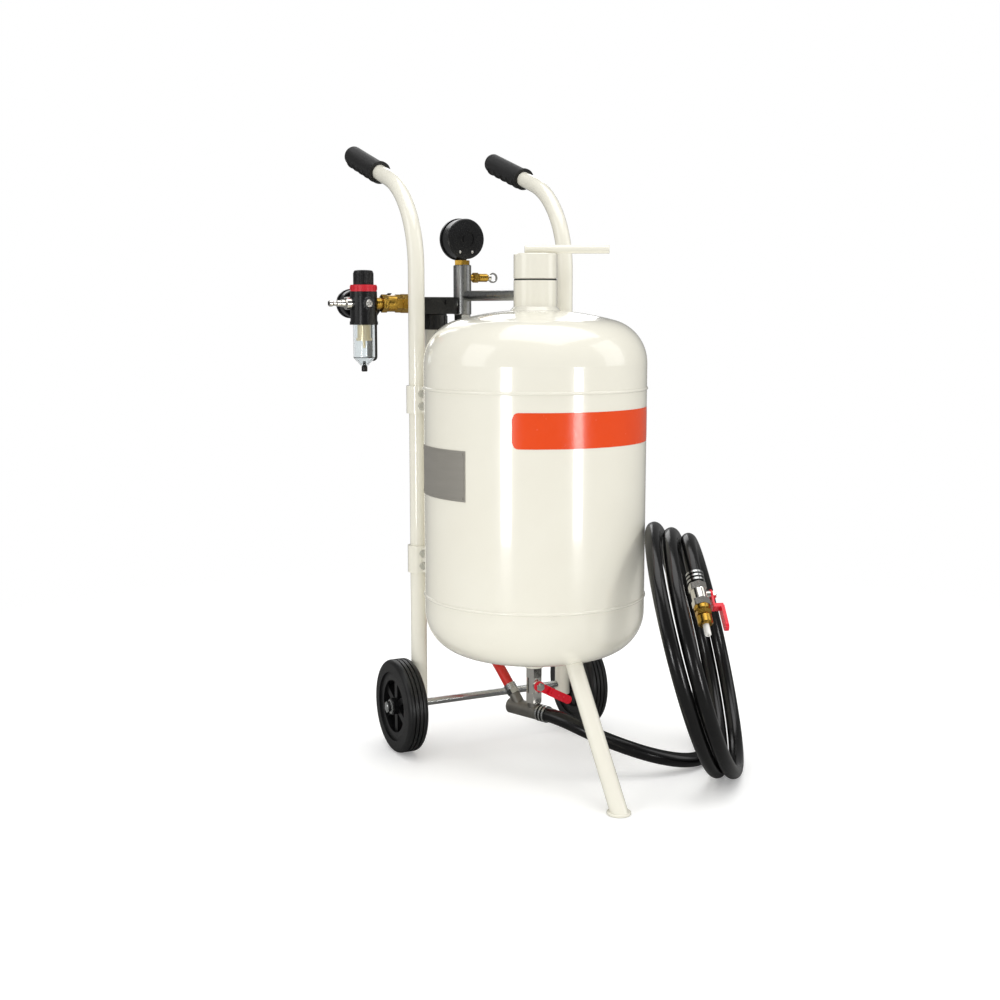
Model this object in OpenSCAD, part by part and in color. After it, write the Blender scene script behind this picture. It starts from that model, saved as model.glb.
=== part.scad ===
// Wheeled pressure-pot abrasive blaster: a dished tank on two post legs and a front
// prop, with its air line, metering valve, mixing tee and coiled blast hose.
// Origin: middle of the front foot's underside. +Z up, the wheels and handles at +Y.

/* [Quality] */
// Facets in a full circle
$fn = 64; // [40:8:96]

/* [Tank] */
// Outer radius of the shell
tank_r = 165; // [140:1:200]
// Thickness of shell and heads
tank_wall = 3; // [2:0.5:5]
// Straight height between the two heads
shell_h = 368; // [280:1:460]
// Crown radius of the dished heads
crown_r = 450; // [380:5:560]
// Knuckle radius of the dished heads
knuckle_r = 65; // [50:1:80]
// Lowest point of the tank above the floor
tank_low = 164; // [150:1:210]
// Upper seam below the top of the straight shell
seam_top = 36; // [20:1:60]
// Lower seam above the foot of the straight shell
seam_low = 24; // [15:1:60]
// How far a weld bead stands proud
bead = 1.6; // [1:0.1:2.5]

/* [Filler neck and cap] */
// Outer radius of the neck and of the cap
neck_r = 32; // [29:0.5:38]
// Bore radius of the neck
neck_bore = 25; // [21:0.5:26]
// Height of the neck above the crown of the tank
neck_h = 42; // [36:1:55]
// Thickness of the gasket
gasket_t = 2; // [1:0.5:4]
// Height of the cap above the gasket
cap_h = 37; // [28:1:46]
// Length of the cap's threaded plug
plug_l = 21; // [16:1:25]
// Thread pitch of the plug
pitch = 4; // [3:0.5:5]
// Radius of the turning bar
bar_r = 6.75; // [5:0.25:8]
// Reach of the bar on its long side
bar_long = 108; // [80:1:135]
// Reach of the bar on its short side
bar_short = 16; // [10:1:25]
// Heading of the bar as the cap stands
bar_heading = -26.6; // [-180:0.1:180]

/* [Posts and handles] */
// Outer radius of the post tube
post_r = 12.5; // [11:0.5:15]
// Wall of the post tube
post_wall = 2; // [1.5:0.5:3]
// Open space between post and tank
post_gap = 14.3; // [11:0.1:20]
// Angle from the wheel axle's direction to each post
post_angle = 47.75; // [42:0.25:52]
// Height at which the handle bend begins
bend_z = 749; // [690:1:820]
// Radius of the handle bend
bend_r = 150; // [120:1:180]
// Angle that the bend turns through
bend_angle = 72.5; // [60:0.5:85]
// Straight tube after the bend
handle_l = 160; // [140:1:190]
// Lower end of the posts above the floor
post_low = 57; // [50:1:61]
// Length of a grip
grip_l = 125; // [100:1:138]
// Outer radius of a grip
grip_r = 16; // [15:0.5:19]
// Height of a post bracket
bracket_h = 42; // [34:1:50]
// Wall of a bracket's collar
collar_wall = 4; // [3:0.5:5]
// Middle of the lower brackets above the floor
bracket_low_z = 305; // [290:1:350]
// Middle of the upper brackets above the floor
bracket_high_z = 552; // [480:1:590]

/* [Front leg] */
// Outer radius of the leg tube
leg_r = 12.5; // [10:0.5:14]
// Wall of the leg tube
leg_wall = 2; // [1.5:0.5:3]
// Distance from the tank's axis to the foot
leg_reach = 250; // [220:1:290]
// Distance from the tank's axis to the leg's upper end
leg_in = 125; // [105:1:135]
// Radius of the foot disc
foot_r = 17; // [16:0.5:22]
// Thickness of the foot disc
foot_t = 4; // [3:0.5:6]

/* [Wheels] */
// Tyre radius
wheel_r = 73; // [66:1:80]
// Tyre width
tyre_w = 33; // [28:1:38]
// Radius of the wheel's rim
rim_r = 46; // [40:1:52]
// Number of spokes
spokes = 6; // [4:1:8]
// Axle radius
axle_r = 6; // [5:0.5:7]
// Gap between a post and a wheel's hub
wheel_gap = 0.6; // [0.3:0.1:2]

/* [Air line] */
// Height of the air line above the crown of the tank
line_up = 9; // [7:0.5:14]
// Manifold tube radius
manifold_r = 14; // [12:0.5:16]
// Top of the manifold above the air line
manifold_up = 60; // [52:1:70]
// Foot of the manifold below the air line
manifold_down = 17; // [16:0.5:22]
// Neck pipe radius
neck_pipe_r = 8; // [6:0.5:10]
// Neck pipe above the crown of the tank
neck_pipe_up = 21; // [14:0.5:26]
// Main gauge radius
gauge_r = 32.5; // [27:0.5:36]
// Main gauge depth
gauge_d = 30; // [25:1:36]
// Separator length along the line
sep_l = 61; // [50:1:70]
// Separator width across the line
sep_w = 36; // [30:1:38]
// Separator bowl radius
sep_bowl_r = 16.5; // [14:0.5:17.5]
// Separator bowl length
sep_bowl_l = 57; // [46:1:66]
// Regulator body radius
reg_r = 20.5; // [19:0.5:23]
// Regulator body height
reg_h = 50; // [44:1:58]
// Regulator knob radius
knob_r = 15.5; // [13:0.5:18]
// Regulator knob height
knob_h = 31; // [26:1:36]
// Regulator bowl radius
bowl_r = 16.5; // [14:0.5:18]
// Regulator bowl length down to its cone
bowl_l = 50; // [44:1:58]
// Small gauge radius
small_gauge_r = 22.5; // [19:0.5:25]
// Small gauge depth
small_gauge_d = 24; // [20:1:28]
// Length of the inlet plug
plug_out = 34; // [30:1:40]

/* [Ball valves] */
// Length of the metering valve
meter_l = 55; // [50:1:60]
// Length of the nozzle valve
nozzle_valve_l = 36; // [34:1:44]
// Length of the inlet valve
inlet_valve_l = 32; // [30:1:40]
// Stem radius of the ball valves
stem_r = 4; // [3:0.25:4.5]
// Lever length of the metering and nozzle valves
lever_l = 58; // [48:1:66]
// Lever angle below level on the metering valve
meter_droop = 28; // [0:1:60]

/* [Hoses] */
// Blast hose diameter
hose_d = 22; // [18:0.5:22.4]
// Air hose diameter
air_hose_d = 16; // [14:0.5:18]
// Radius of the first loop of the coil
coil_r = 184; // [170:1:196]
// Change of loop radius with each turn
coil_shrink = -4; // [-6:0.5:-3]
// Sideways step from loop to loop
coil_step = 24.5; // [24.3:0.1:27]
// Lean of the coil towards the tank
coil_lean = 15; // [13:0.5:17]
// Heading of the coil's plane
coil_heading = 53; // [50:0.5:56]
// Bend radius of the coil's loose end
tail_r = 95; // [88:1:110]
// Blasting nozzle bore radius
nozzle_bore = 1.5; // [1:0.1:3]

/* [Hidden] */

// Clearances
run_fit = 0.05;     // radial, round pieces that turn or slide
ball_fit = 0.3;     // radial, around a valve's ball
shoulder = 0.3;     // end play of turning pieces

// Tank heights
tan_low = tank_low + head_h(tank_r, crown_r, knuckle_r);
tan_top = tan_low + shell_h;
tank_top = tan_top + head_h(tank_r, crown_r, knuckle_r);
neck_top = tank_top + neck_h;
cap_low = neck_top + gasket_t;
plug_r = neck_bore - run_fit;

// Posts and wheels
post_c = tank_r + post_gap + post_r;
post_x = post_c * cos(post_angle);
axle_y = post_c * sin(post_angle);
wheel_in = post_x + post_r + wheel_gap;
hub_w = tyre_w + 2;
axle_end = wheel_in + hub_w + 9;

// Air line
line_z = tank_top + line_up;
air_gap = 8.4;
air_c = tank_r + air_gap + air_hose_d / 2;
man_x = air_c * cos(101.12);
line_y = air_c * sin(101.12);
man_top = line_z + manifold_up;
man_low = line_z - manifold_down;
neck_pipe_z = tank_top + neck_pipe_up;
gauge_z = man_top + 7 + gauge_r;
sep_x1 = man_x - manifold_r - 2;
sep_x0 = sep_x1 - sep_l;
sep_step = line_z - 16;
sep_low = line_z - 40;
valve_x1 = sep_x0 - 28;
valve_x0 = valve_x1 - inlet_valve_l;
reg_x = valve_x0 - 8 - reg_r;
reg_low = line_z - 32;
reg_top = reg_low + reg_h;
plug_x = reg_x - reg_r - 1.5;
small_gauge_y = line_y + reg_r + 16.5;
relief_z = line_z + 40.5;

// Valves and tee under the tank
valve_bore = 6;
ball_r = 9;
socket_low = tank_low - 14;
meter_low = socket_low - meter_l;
tee_z = meter_low - 15;
tee_r = 12;
tee_heading = -70;
tee_back = -49;
tee_front = 10;
branch_s = -25;
branch_rise = 50;
ferrule_l = 17;
stub_l = 25;
tee_dir = [cos(tee_heading), sin(tee_heading), 0];
branch_dir = [-cos(branch_rise) * tee_dir[0], -cos(branch_rise) * tee_dir[1], sin(branch_rise)];
branch_0 = [branch_s * tee_dir[0], branch_s * tee_dir[1], tee_z];
branch_end = branch_0 + (stub_l + ferrule_l) * branch_dir;

// Air hose: down behind the tank, then forward under it to the tee's branch
air_top = [man_x, line_y, man_low - 16];
air_route = [
    air_top,
    air_top - [0, 0, 20],
    [man_x, line_y, air_top[2] - 120],
    [man_x, line_y, air_top[2] - 240],
    [man_x, line_y, tan_low + 60],
    [man_x, line_y - 2, tan_low - 15],
    [man_x + 1, line_y - 14, tan_low - 45],
    [man_x + 4, line_y - 36, tan_low - 70],
    [man_x + 8, line_y - 62, tan_low - 86],
    [man_x + 12, line_y - 88, tan_low - 98],
    branch_end + 24 * branch_dir,
    branch_end];

// Bracket bolts
bolt_r = 3;
bolt_head = 10;
bolt_step = 9.5;
head_room = 0.4;

// Coil: leaning loops, the radius falling a little with each turn
coil_clear = 0.5;
coil_t0 = -40;
coil_t1 = 800;
coil_da = 15;
tail_turn = 60;
coil_x = 173.7 + (tank_r - 165) * 0.81;
coil_y = -127.3 - (tank_r - 165) * 0.59;
coil_u = [cos(coil_heading), sin(coil_heading), 0];
coil_n = [sin(coil_heading), -cos(coil_heading), 0];
coil_w = [-sin(coil_lean) * coil_n[0], -sin(coil_lean) * coil_n[1], cos(coil_lean)];
coil_flat = [cos(coil_lean) * coil_n[0], cos(coil_lean) * coil_n[1], sin(coil_lean)];
tail_step = coil_step * tail_turn / 360;

function loop_r(t) = coil_r + coil_shrink * (t - coil_t0) / 360;
function loop_c(t) = [coil_x, coil_y, hose_d / 2 + coil_clear + loop_r(t) * cos(coil_lean)]
    + coil_step * (t - coil_t0) / 360 * coil_n;
function loop_p(t) = loop_c(t) + loop_r(t) * (cos(t) * coil_u + sin(t) * coil_w);
function tail_p(a) = loop_c(coil_t1) + a / tail_turn * tail_step * coil_n
    + (loop_r(coil_t1) - tail_r) * (cos(coil_t1) * coil_u + sin(coil_t1) * coil_w)
    + tail_r * (cos(coil_t1 + a) * coil_u + sin(coil_t1 + a) * coil_w);

coil_in = unit(loop_p(coil_t0 + 1) - loop_p(coil_t0));
coil_start = loop_p(coil_t0) - hose_d * coil_in;
coil_out = unit(tail_p(tail_turn) - tail_p(tail_turn - 1));
coil_end = tail_p(tail_turn) + hose_d * coil_out;
coil_points = concat([coil_start],
    [for (t = [coil_t0 : coil_da : coil_t1]) loop_p(t)],
    [for (a = [coil_da : coil_da : tail_turn]) tail_p(a)],
    [coil_end]);

// Blast hose from the tee over the floor to the coil
run_start = [tee_front * tee_dir[0], tee_front * tee_dir[1], tee_z];
run_points = concat([run_start, run_start + hose_d * tee_dir], [
    [22, -55, 77],
    [38, -80, 69],
    [58, -103, 59],
    [84, -123, 48],
    [113, -137, 37],
    [144, -144, 27],
    [175, -144, 19],
    [203, -137, 14],
    [228, -123, 12],
    [248, -103, 15],
    [263, -80, 26]],
    [coil_start - hose_d * coil_in, coil_start]);

// Nozzle end of the hose
nozzle_clamp_w = 3;
holder_l = 30;
tip_l = 17;
nozzle_ball = coil_end + nozzle_valve_l / 2 * coil_out;
tip_end = coil_end + (nozzle_valve_l + holder_l + tip_l) * coil_out;

// Places and readings that the record repeats, from the foot
foot_shift = [0, leg_reach, 0];
echo(ball_metering = [0, 0, socket_low - meter_l / 2] + foot_shift);
echo(ball_inlet = [valve_x1 - inlet_valve_l / 2, line_y, line_z] + foot_shift);
echo(ball_nozzle = nozzle_ball + foot_shift, along = coil_out, stem = side_of(coil_out));
echo(main_gauge = [man_x, line_y, gauge_z] + foot_shift);
echo(small_gauge = [reg_x, small_gauge_y, line_z] + foot_shift);
echo(regulator = [reg_x, line_y, reg_top] + foot_shift, drain = reg_low - bowl_l - 12);
echo(relief = [man_x, line_y, relief_z] + foot_shift, inlet_tip = plug_x - plug_out);
echo(axle = [post_x, axle_y + leg_reach, wheel_r], wheel_in = wheel_in, neck_top = neck_top);
echo(tip_end = tip_end + foot_shift, tee_dir = tee_dir, tee_z = tee_z);
echo(run_length = path_length(run_points), coil_length = path_length(coil_points));
echo(run_from_foot = [for (p = run_points) p + foot_shift]);
echo(coil_gap = coil_gap(coil_points) - hose_d, coil_to_tank = tank_gap(coil_points));

function unit(v) = v / norm(v);
function side_of(d) = unit([-d[1], d[0], 0]);
function head_h(r, crown, knuckle) =
    crown - sqrt(pow(crown - knuckle, 2) - pow(r - knuckle, 2));
function path_length(p, i = 0) =
    i >= len(p) - 1 ? 0 : norm(p[i + 1] - p[i]) + path_length(p, i + 1);
function coil_gap(p) =
    min([for (i = [0 : len(p) - 13]) min([for (j = [i + 12 : len(p) - 1]) norm(p[i] - p[j])])]);
function tank_gap(p) = min([for (q = p) norm([q[0], q[1]])]) - tank_r - hose_d / 2;

// Everything below is drawn about the tank's axis, which this sets on the foot's frame
module at_tank() {
    translate([0, leg_reach, 0])
        children();
}

// Turns children's +Z towards d and moves them to p
module along(p, d) {
    translate(p)
        rotate([0, acos(d[2] / norm(d)), atan2(d[1], d[0])])
            children();
}

// Hollow round bar between heights a and b
module tube(a, b, outer, inner) {
    translate([0, 0, a])
        difference() {
            cylinder(h = b - a, r = outer);
            translate([0, 0, -1])
                cylinder(h = b - a + 2, r = inner);
        }
}

// Round bar with both end edges bevelled
module bar(l, r, bevel) {
    rotate_extrude()
        polygon([[0, 0], [r - bevel, 0], [r, bevel], [r, l - bevel], [r - bevel, l], [0, l]]);
}

// Hexagonal prism measured across its flats
module hex(h, flats) {
    linear_extrude(h)
        circle(r = flats / 2 / cos(30), $fn = 6);
}

// Hose of n sides through the points; ref stays square to none of its directions
module sweep(p, r, ref, n) {
    last = len(p) - 1;
    dirs = [for (i = [0 : last]) unit(p[min(i + 1, last)] - p[max(i - 1, 0)])];
    rings = [for (i = [0 : last]) let (a = unit(cross(dirs[i], ref)), b = cross(dirs[i], a))
        for (j = [0 : n - 1]) p[i] + r * (cos(360 * j / n) * a + sin(360 * j / n) * b)];
    walls = [for (i = [0 : last - 1], j = [0 : n - 1], half = [0, 1])
        let (k = (j + 1) % n, lo = i * n, hi = i * n + n)
        half == 0 ? [lo + j, hi + j, hi + k] : [lo + j, hi + k, lo + k]];
    polyhedron(rings, concat(walls, [[for (j = [0 : n - 1]) j]],
        [[for (j = [n - 1 : -1 : 0]) last * n + j]]));
}

// Half section of the tank's outline, drawn in by inset
module tank_outline(inset) {
    r = tank_r - inset;
    crown = crown_r - inset;
    knuckle = knuckle_r - inset;
    reach = (r - knuckle) * crown / (crown - knuckle);
    drop = crown - head_h(r, crown, knuckle);
    translate([0, tan_low])
        square([r, shell_h]);
    for (up = [0, 1])
        translate([0, up * shell_h + tan_low])
            mirror([0, 1 - up])
                intersection() {
                    union() {
                        square([r - knuckle, knuckle]);
                        translate([r - knuckle, 0])
                            circle(r = knuckle);
                        intersection() {
                            translate([0, -drop])
                                circle(r = crown, $fn = 4 * $fn);
                            square([reach, crown]);
                        }
                    }
                    square([r, crown]);
                }
}

module tank_solid() {
    rotate_extrude()
        tank_outline(0);
}

module tank_shell() {
    color("ivory")
        at_tank()
            difference() {
                union() {
                    rotate_extrude()
                        difference() {
                            tank_outline(0);
                            tank_outline(tank_wall);
                        }
                    for (z = [tan_top - seam_top, tan_low + seam_low])
                        translate([0, 0, z])
                            rotate_extrude()
                                translate([tank_r - 1, 0])
                                    intersection() {
                                        circle(r = bead + 1);
                                        translate([-1, -3])
                                            square([6, 6]);
                                    }
                }
                translate([0, 0, tank_top - 15])
                    cylinder(h = 30, r = neck_r);
                translate([0, 0, tank_low - 5])
                    cylinder(h = 15, r = 10);
            }
}

module filler_neck() {
    weld = 4;
    color("ivory")
        at_tank()
            difference() {
                union() {
                    translate([0, 0, tank_top - 9])
                        cylinder(h = neck_h + 9, r = neck_r);
                    difference() {
                        translate([0, 0, tank_top - 3])
                            cylinder(h = 3 + weld, r1 = neck_r + weld + 3, r2 = neck_r);
                        translate([0, 0, tank_top - crown_r])
                            sphere(r = crown_r, $fn = 4 * $fn);
                    }
                }
                translate([0, 0, tank_top - 20])
                    cylinder(h = neck_h + 40, r = neck_bore);
                along([0, 0, neck_pipe_z], [man_x, line_y, 0])
                    cylinder(h = 60, r = neck_pipe_r - 2);
            }
}

module cap_gasket() {
    color("dimgray")
        at_tank()
            tube(neck_top, cap_low, neck_r - 0.6, neck_bore + 0.4);
}

module filler_cap() {
    root = 1.3;
    turns = floor((plug_l - 3) / pitch);
    color("ivory")
        at_tank()
            difference() {
                union() {
                    translate([0, 0, cap_low])
                        bar(cap_h, neck_r, 1.5);
                    translate([0, 0, cap_low - plug_l])
                        cylinder(h = plug_l, r = plug_r - root);
                    for (i = [0 : turns - 1])
                        translate([0, 0, cap_low - plug_l + i * pitch])
                            rotate_extrude()
                                polygon([[0, 0], [plug_r - root, 0], [plug_r, 1],
                                    [plug_r, pitch - 2], [plug_r - root, pitch - 1],
                                    [0, pitch - 1]]);
                }
                translate([0, 0, cap_low - plug_l - 1])
                    cylinder(h = plug_l + 6, r = neck_bore - 7);
            }
}

// Turning bar with a flat along its foot, where it is welded to the cap
module cap_bar() {
    flat = 1;
    color("ivory")
        at_tank()
            translate([0, 0, cap_low + cap_h])
                rotate([0, 0, bar_heading])
                    difference() {
                        translate([-bar_short, 0, bar_r - flat])
                            rotate([0, 90, 0])
                                bar(bar_short + bar_long, bar_r, 1);
                        translate([-bar_short - 1, -bar_r, -bar_r])
                            cube([bar_short + bar_long + 2, bar_r * 2, bar_r]);
                    }
}

module air_manifold() {
    reach = norm([man_x, line_y]);
    heading = [man_x, line_y, 0];
    color("darkgray")
        at_tank()
            difference() {
                union() {
                    translate([man_x, line_y, man_low])
                        bar(man_top - man_low, manifold_r, 1);
                    along([0, 0, neck_pipe_z], heading)
                        translate([0, 0, neck_r - 8])
                            cylinder(h = reach - neck_r + 8, r = neck_pipe_r);
                    translate([sep_x1, line_y, line_z])
                        rotate([0, 90, 0])
                            cylinder(h = manifold_r, r = 8);
                }
                translate([0, 0, neck_pipe_z - 20])
                    cylinder(h = 40, r = neck_r);
                translate([man_x, line_y, man_low - 1])
                    cylinder(h = man_top - man_low + 2, r = manifold_r - 4);
                along([0, 0, neck_pipe_z], heading)
                    translate([0, 0, neck_r - 1])
                        cylinder(h = reach - neck_r, r = neck_pipe_r - 2);
                translate([sep_x1 - 1, line_y, line_z])
                    rotate([0, 90, 0])
                        cylinder(h = manifold_r, r = 5);
                translate([man_x, line_y, relief_z])
                    rotate([0, 90, 0])
                        cylinder(h = manifold_r + 2, r = 5);
            }
}

module gauge_bushing() {
    color("goldenrod")
        at_tank()
            translate([man_x, line_y, man_top]) {
                difference() {
                    union() {
                        translate([0, 0, -8])
                            cylinder(h = 9, r = manifold_r - 4);
                        hex(7, 22);
                    }
                    translate([0, 0, -9])
                        cylinder(h = 30, r = 4);
                }
            }
}

// Gauge housing, its dial towards +Z
module gauge_case(r, depth) {
    floor_t = 8;
    difference() {
        rotate_extrude()
            polygon([[0, 0], [r - 3, 0], [r - 1.5, 1.5], [r - 1.5, depth - 6], [r, depth - 6],
                [r, depth - 1], [r - 1, depth], [0, depth]]);
        translate([0, 0, floor_t])
            cylinder(h = depth, r = r - 5);
        translate([0, 0, depth - 4])
            cylinder(h = 5, r = r - 3);
    }
    translate([0, 0, floor_t])
        cylinder(h = 7, r = 1.2);
    for (i = [0 : 12])
        rotate([0, 0, 45 - i * 22.5])
            translate([r * 0.62, -0.4, floor_t - 0.5])
                cube([r * 0.1, 0.8, 1]);
}

// Pointer about the gauge's middle, its tip towards +X
module gauge_needle(r) {
    difference() {
        union() {
            translate([0, 0, 10.5])
                cylinder(h = 3, r = 2.8);
            translate([0, 0, 11.2])
                linear_extrude(0.9)
                    polygon([[-r * 0.2, -1.4], [0, -1.8], [r * 0.58, -0.35], [r * 0.58, 0.35],
                        [0, 1.8], [-r * 0.2, 1.4]]);
        }
        translate([0, 0, 5])
            cylinder(h = 20, r = 1.2 + run_fit);
    }
}

module at_main_gauge() {
    at_tank()
        translate([man_x, line_y - gauge_d / 2, gauge_z])
            rotate([-90, 0, 0])
                children();
}

module at_small_gauge() {
    at_tank()
        translate([reg_x, small_gauge_y, line_z])
            rotate([-90, 0, 0])
                children();
}

module main_gauge_case() {
    color("black")
        at_main_gauge() {
            difference() {
                gauge_case(gauge_r, gauge_d);
                translate([0, 0, -1])
                    cylinder(h = 2.5, r = 13);
                for (s = [-1, 1])
                    translate([s * gauge_r * 0.32, gauge_r * 0.62, -1])
                        cylinder(h = 2, r = 2);
            }
            cylinder(h = 4, r = 5);
            translate([-5, gauge_r - 4, gauge_d / 2 - 5])
                cube([10, 4, 10]);
        }
}

module main_gauge_needle() {
    color("orangered")
        at_main_gauge()
            rotate([0, 0, 45])
                gauge_needle(gauge_r);
}

module gauge_lenses() {
    color("lightcyan", 0.4) {
        at_main_gauge()
            translate([0, 0, gauge_d - 4])
                cylinder(h = 2.5, r = gauge_r - 3);
        at_small_gauge()
            translate([0, 0, small_gauge_d - 4])
                cylinder(h = 2.5, r = small_gauge_r - 3);
    }
}

module relief_valve_body() {
    color("gold")
        at_tank()
            translate([man_x, line_y, relief_z])
                rotate([0, 90, 0])
                    difference() {
                        union() {
                            translate([0, 0, manifold_r - 3])
                                cylinder(h = 8, r = 5);
                            translate([0, 0, manifold_r + 4])
                                hex(9, 13.5);
                            translate([0, 0, manifold_r + 13])
                                bar(16, 6.4, 1);
                        }
                        translate([0, 0, manifold_r - 4])
                            cylinder(h = 40, r = 2.5 + run_fit);
                    }
}

module relief_stem() {
    color("silver")
        at_tank()
            translate([man_x, line_y, relief_z])
                rotate([0, 90, 0]) {
                    translate([0, 0, manifold_r - 1])
                        cylinder(h = 36, r = 2.5);
                    translate([0, 0, manifold_r + 29.3])
                        bar(6, 5, 1);
                    translate([0, -1.25, manifold_r + 39])
                        rotate([-90, 0, 0])
                            difference() {
                                cylinder(h = 2.5, r = 8);
                                translate([0, 0, -1])
                                    cylinder(h = 5, r = 5.5);
                            }
                }
}

module separator_head() {
    mid = (sep_x0 + sep_x1) / 2;
    color("black")
        at_tank()
            difference() {
                union() {
                    translate([sep_x0, line_y - sep_w / 2, sep_step])
                        cube([sep_l, sep_w, 26]);
                    translate([mid, line_y, sep_low])
                        bar(sep_step - sep_low, sep_w / 2, 1);
                    for (i = [0 : 11])
                        translate([mid, line_y, sep_low + 3])
                            rotate([0, 0, i * 30])
                                translate([sep_w / 2 - 1, -1.5, 0])
                                    cube([1.8, 3, sep_step - sep_low - 6]);
                    translate([mid + 12, line_y - sep_w / 2 - 3, line_z + 2])
                        rotate([-90, 0, 0])
                            cylinder(h = 5, r = 3.5);
                }
                translate([sep_x0 - 1, line_y, line_z])
                    rotate([0, 90, 0])
                        cylinder(h = sep_l + 2, r = 5);
                translate([mid, line_y, sep_low - 1])
                    cylinder(h = 32, r = sep_w / 2 - 5);
                for (s = [0, 1], e = [0, 1])
                    translate([e ? sep_x1 : sep_x0, line_y + (s - 0.5) * sep_w, sep_step])
                        rotate([0, 0, 45])
                            translate([-3, -3, -1])
                                cube([6, 6, 40]);
            }
}

// Bowl hanging from height 0, with a coned foot and an open top
module bowl(r, l, wall, tip_r, cone) {
    difference() {
        rotate_extrude()
            polygon([[0, -l - cone], [tip_r, -l - cone], [r, -l], [r, 0], [0, 0]]);
        translate([0, 0, -l - 2])
            rotate_extrude()
                polygon([[0, -cone + wall + 3], [tip_r - wall + 1, -cone + wall + 3], [r - wall, 3],
                    [r - wall, l + 4], [0, l + 4]]);
    }
}

module separator_bowl() {
    color("gainsboro")
        at_tank()
            translate([(sep_x0 + sep_x1) / 2, line_y, sep_low])
                bowl(sep_bowl_r, sep_bowl_l, 2, 6, 8);
}

module line_nipples() {
    color("goldenrod")
        at_tank() {
            translate([valve_x1, line_y, line_z])
                rotate([0, 90, 0])
                    difference() {
                        union() {
                            hex(14, 25);
                            cylinder(h = 28, r = 8);
                        }
                        translate([0, 0, -1])
                            cylinder(h = 40, r = 5);
                    }
            translate([valve_x0, line_y, line_z])
                rotate([0, -90, 0])
                    difference() {
                        cylinder(h = 9, r = 9);
                        translate([0, 0, -1])
                            cylinder(h = 12, r = 5);
                        translate([0, 0, 8 + reg_r])
                            rotate([0, 90, 0])
                                translate([0, 0, -30])
                                    cylinder(h = 60, r = reg_r);
                    }
        }
}

// Ball valve body along +Z from 0 to l, its stem gland towards +Y
module valve_body(l, flats, waist_r, gland) {
    difference() {
        union() {
            hex(l * 0.28, flats);
            translate([0, 0, l * 0.28])
                cylinder(h = l * 0.44, r = waist_r);
            translate([0, 0, l * 0.72])
                hex(l * 0.28, flats);
            translate([0, 0, l / 2])
                rotate([-90, 0, 0])
                    cylinder(h = gland, r = stem_r + 3);
        }
        translate([0, 0, -1])
            cylinder(h = l + 2, r = valve_bore);
        translate([0, 0, l / 2])
            sphere(r = ball_r + ball_fit);
        translate([0, 0, l / 2])
            rotate([-90, 0, 0])
                cylinder(h = gland + 1, r = stem_r + run_fit);
    }
}

// Ball, stem and stem nut, the ball at the origin and bored along X
module valve_ball(gland, lever_t) {
    difference() {
        union() {
            rotate([90, 0, 0])
                rotate([0, 0, 90])
                    sphere(r = ball_r);
            rotate([-90, 0, 0])
                cylinder(h = gland + lever_t + shoulder + 6, r = stem_r);
            rotate([-90, 0, 0])
                translate([0, 0, gland + lever_t + shoulder])
                    hex(4, stem_r * 2 + 4);
        }
        rotate([0, 90, 0])
            translate([0, 0, -20])
                cylinder(h = 40, r = valve_bore);
    }
}

// Lever along +X from the stem, its sleeve stepped out by rise
module valve_lever(gland, l, w, t, rise) {
    strap = l * 0.34;
    rotate([-90, 0, 0])
        translate([0, 0, gland + shoulder])
            difference() {
                union() {
                    cylinder(h = t, r = w * 0.62);
                    translate([0, -w / 2, 0])
                        cube([strap, w, t]);
                    translate([strap - t, -w / 2, 0])
                        cube([t * 2, w, rise + t]);
                    translate([strap, 0, rise - 1])
                        linear_extrude(t + 2) {
                            translate([0, -w / 2])
                                square([l - strap - w / 2, w]);
                            translate([l - strap - w / 2, 0])
                                circle(r = w / 2);
                        }
                }
                translate([0, 0, -1])
                    cylinder(h = t + 2, r = stem_r);
            }
}

module at_inlet_ball() {
    at_tank()
        translate([valve_x1 - inlet_valve_l / 2, line_y, line_z])
            children();
}

inlet_gland = 20;

module inlet_valve_body() {
    color("goldenrod")
        at_tank()
            translate([valve_x0, line_y, line_z])
                rotate([90, 0, 90])
                    rotate([0, 0, -90])
                        valve_body(inlet_valve_l, 24, 12.5, inlet_gland);
}

module inlet_valve_ball() {
    color("silver")
        at_inlet_ball()
            rotate([0, -90, 0])
                valve_ball(inlet_gland, 2.5);
}

module inlet_lever() {
    grip_w = 14;
    drop = 19;
    side = 22;
    color("black")
        at_inlet_ball()
            rotate([-90, 0, 0])
                translate([0, 0, inlet_gland + shoulder])
                    difference() {
                        union() {
                            cylinder(h = 2.5, r = 9);
                            linear_extrude(2.5)
                                polygon([[10, -16], [4, -16], [-side - 5, drop - 5],
                                    [-side + 5, drop + 3]]);
                            translate([-side, drop, 0])
                                linear_extrude(2.5)
                                    translate([-6, -5])
                                        square([12, 12]);
                            translate([-side, drop + 4, 0])
                                linear_extrude(5) {
                                    translate([-grip_w / 2, 0])
                                        square([grip_w, 58]);
                                    translate([0, 58])
                                        circle(r = grip_w / 2);
                                }
                        }
                        translate([0, 0, -1])
                            cylinder(h = 5, r = stem_r);
                    }
}

module at_regulator() {
    at_tank()
        translate([reg_x, line_y, 0])
            children();
}

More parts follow.
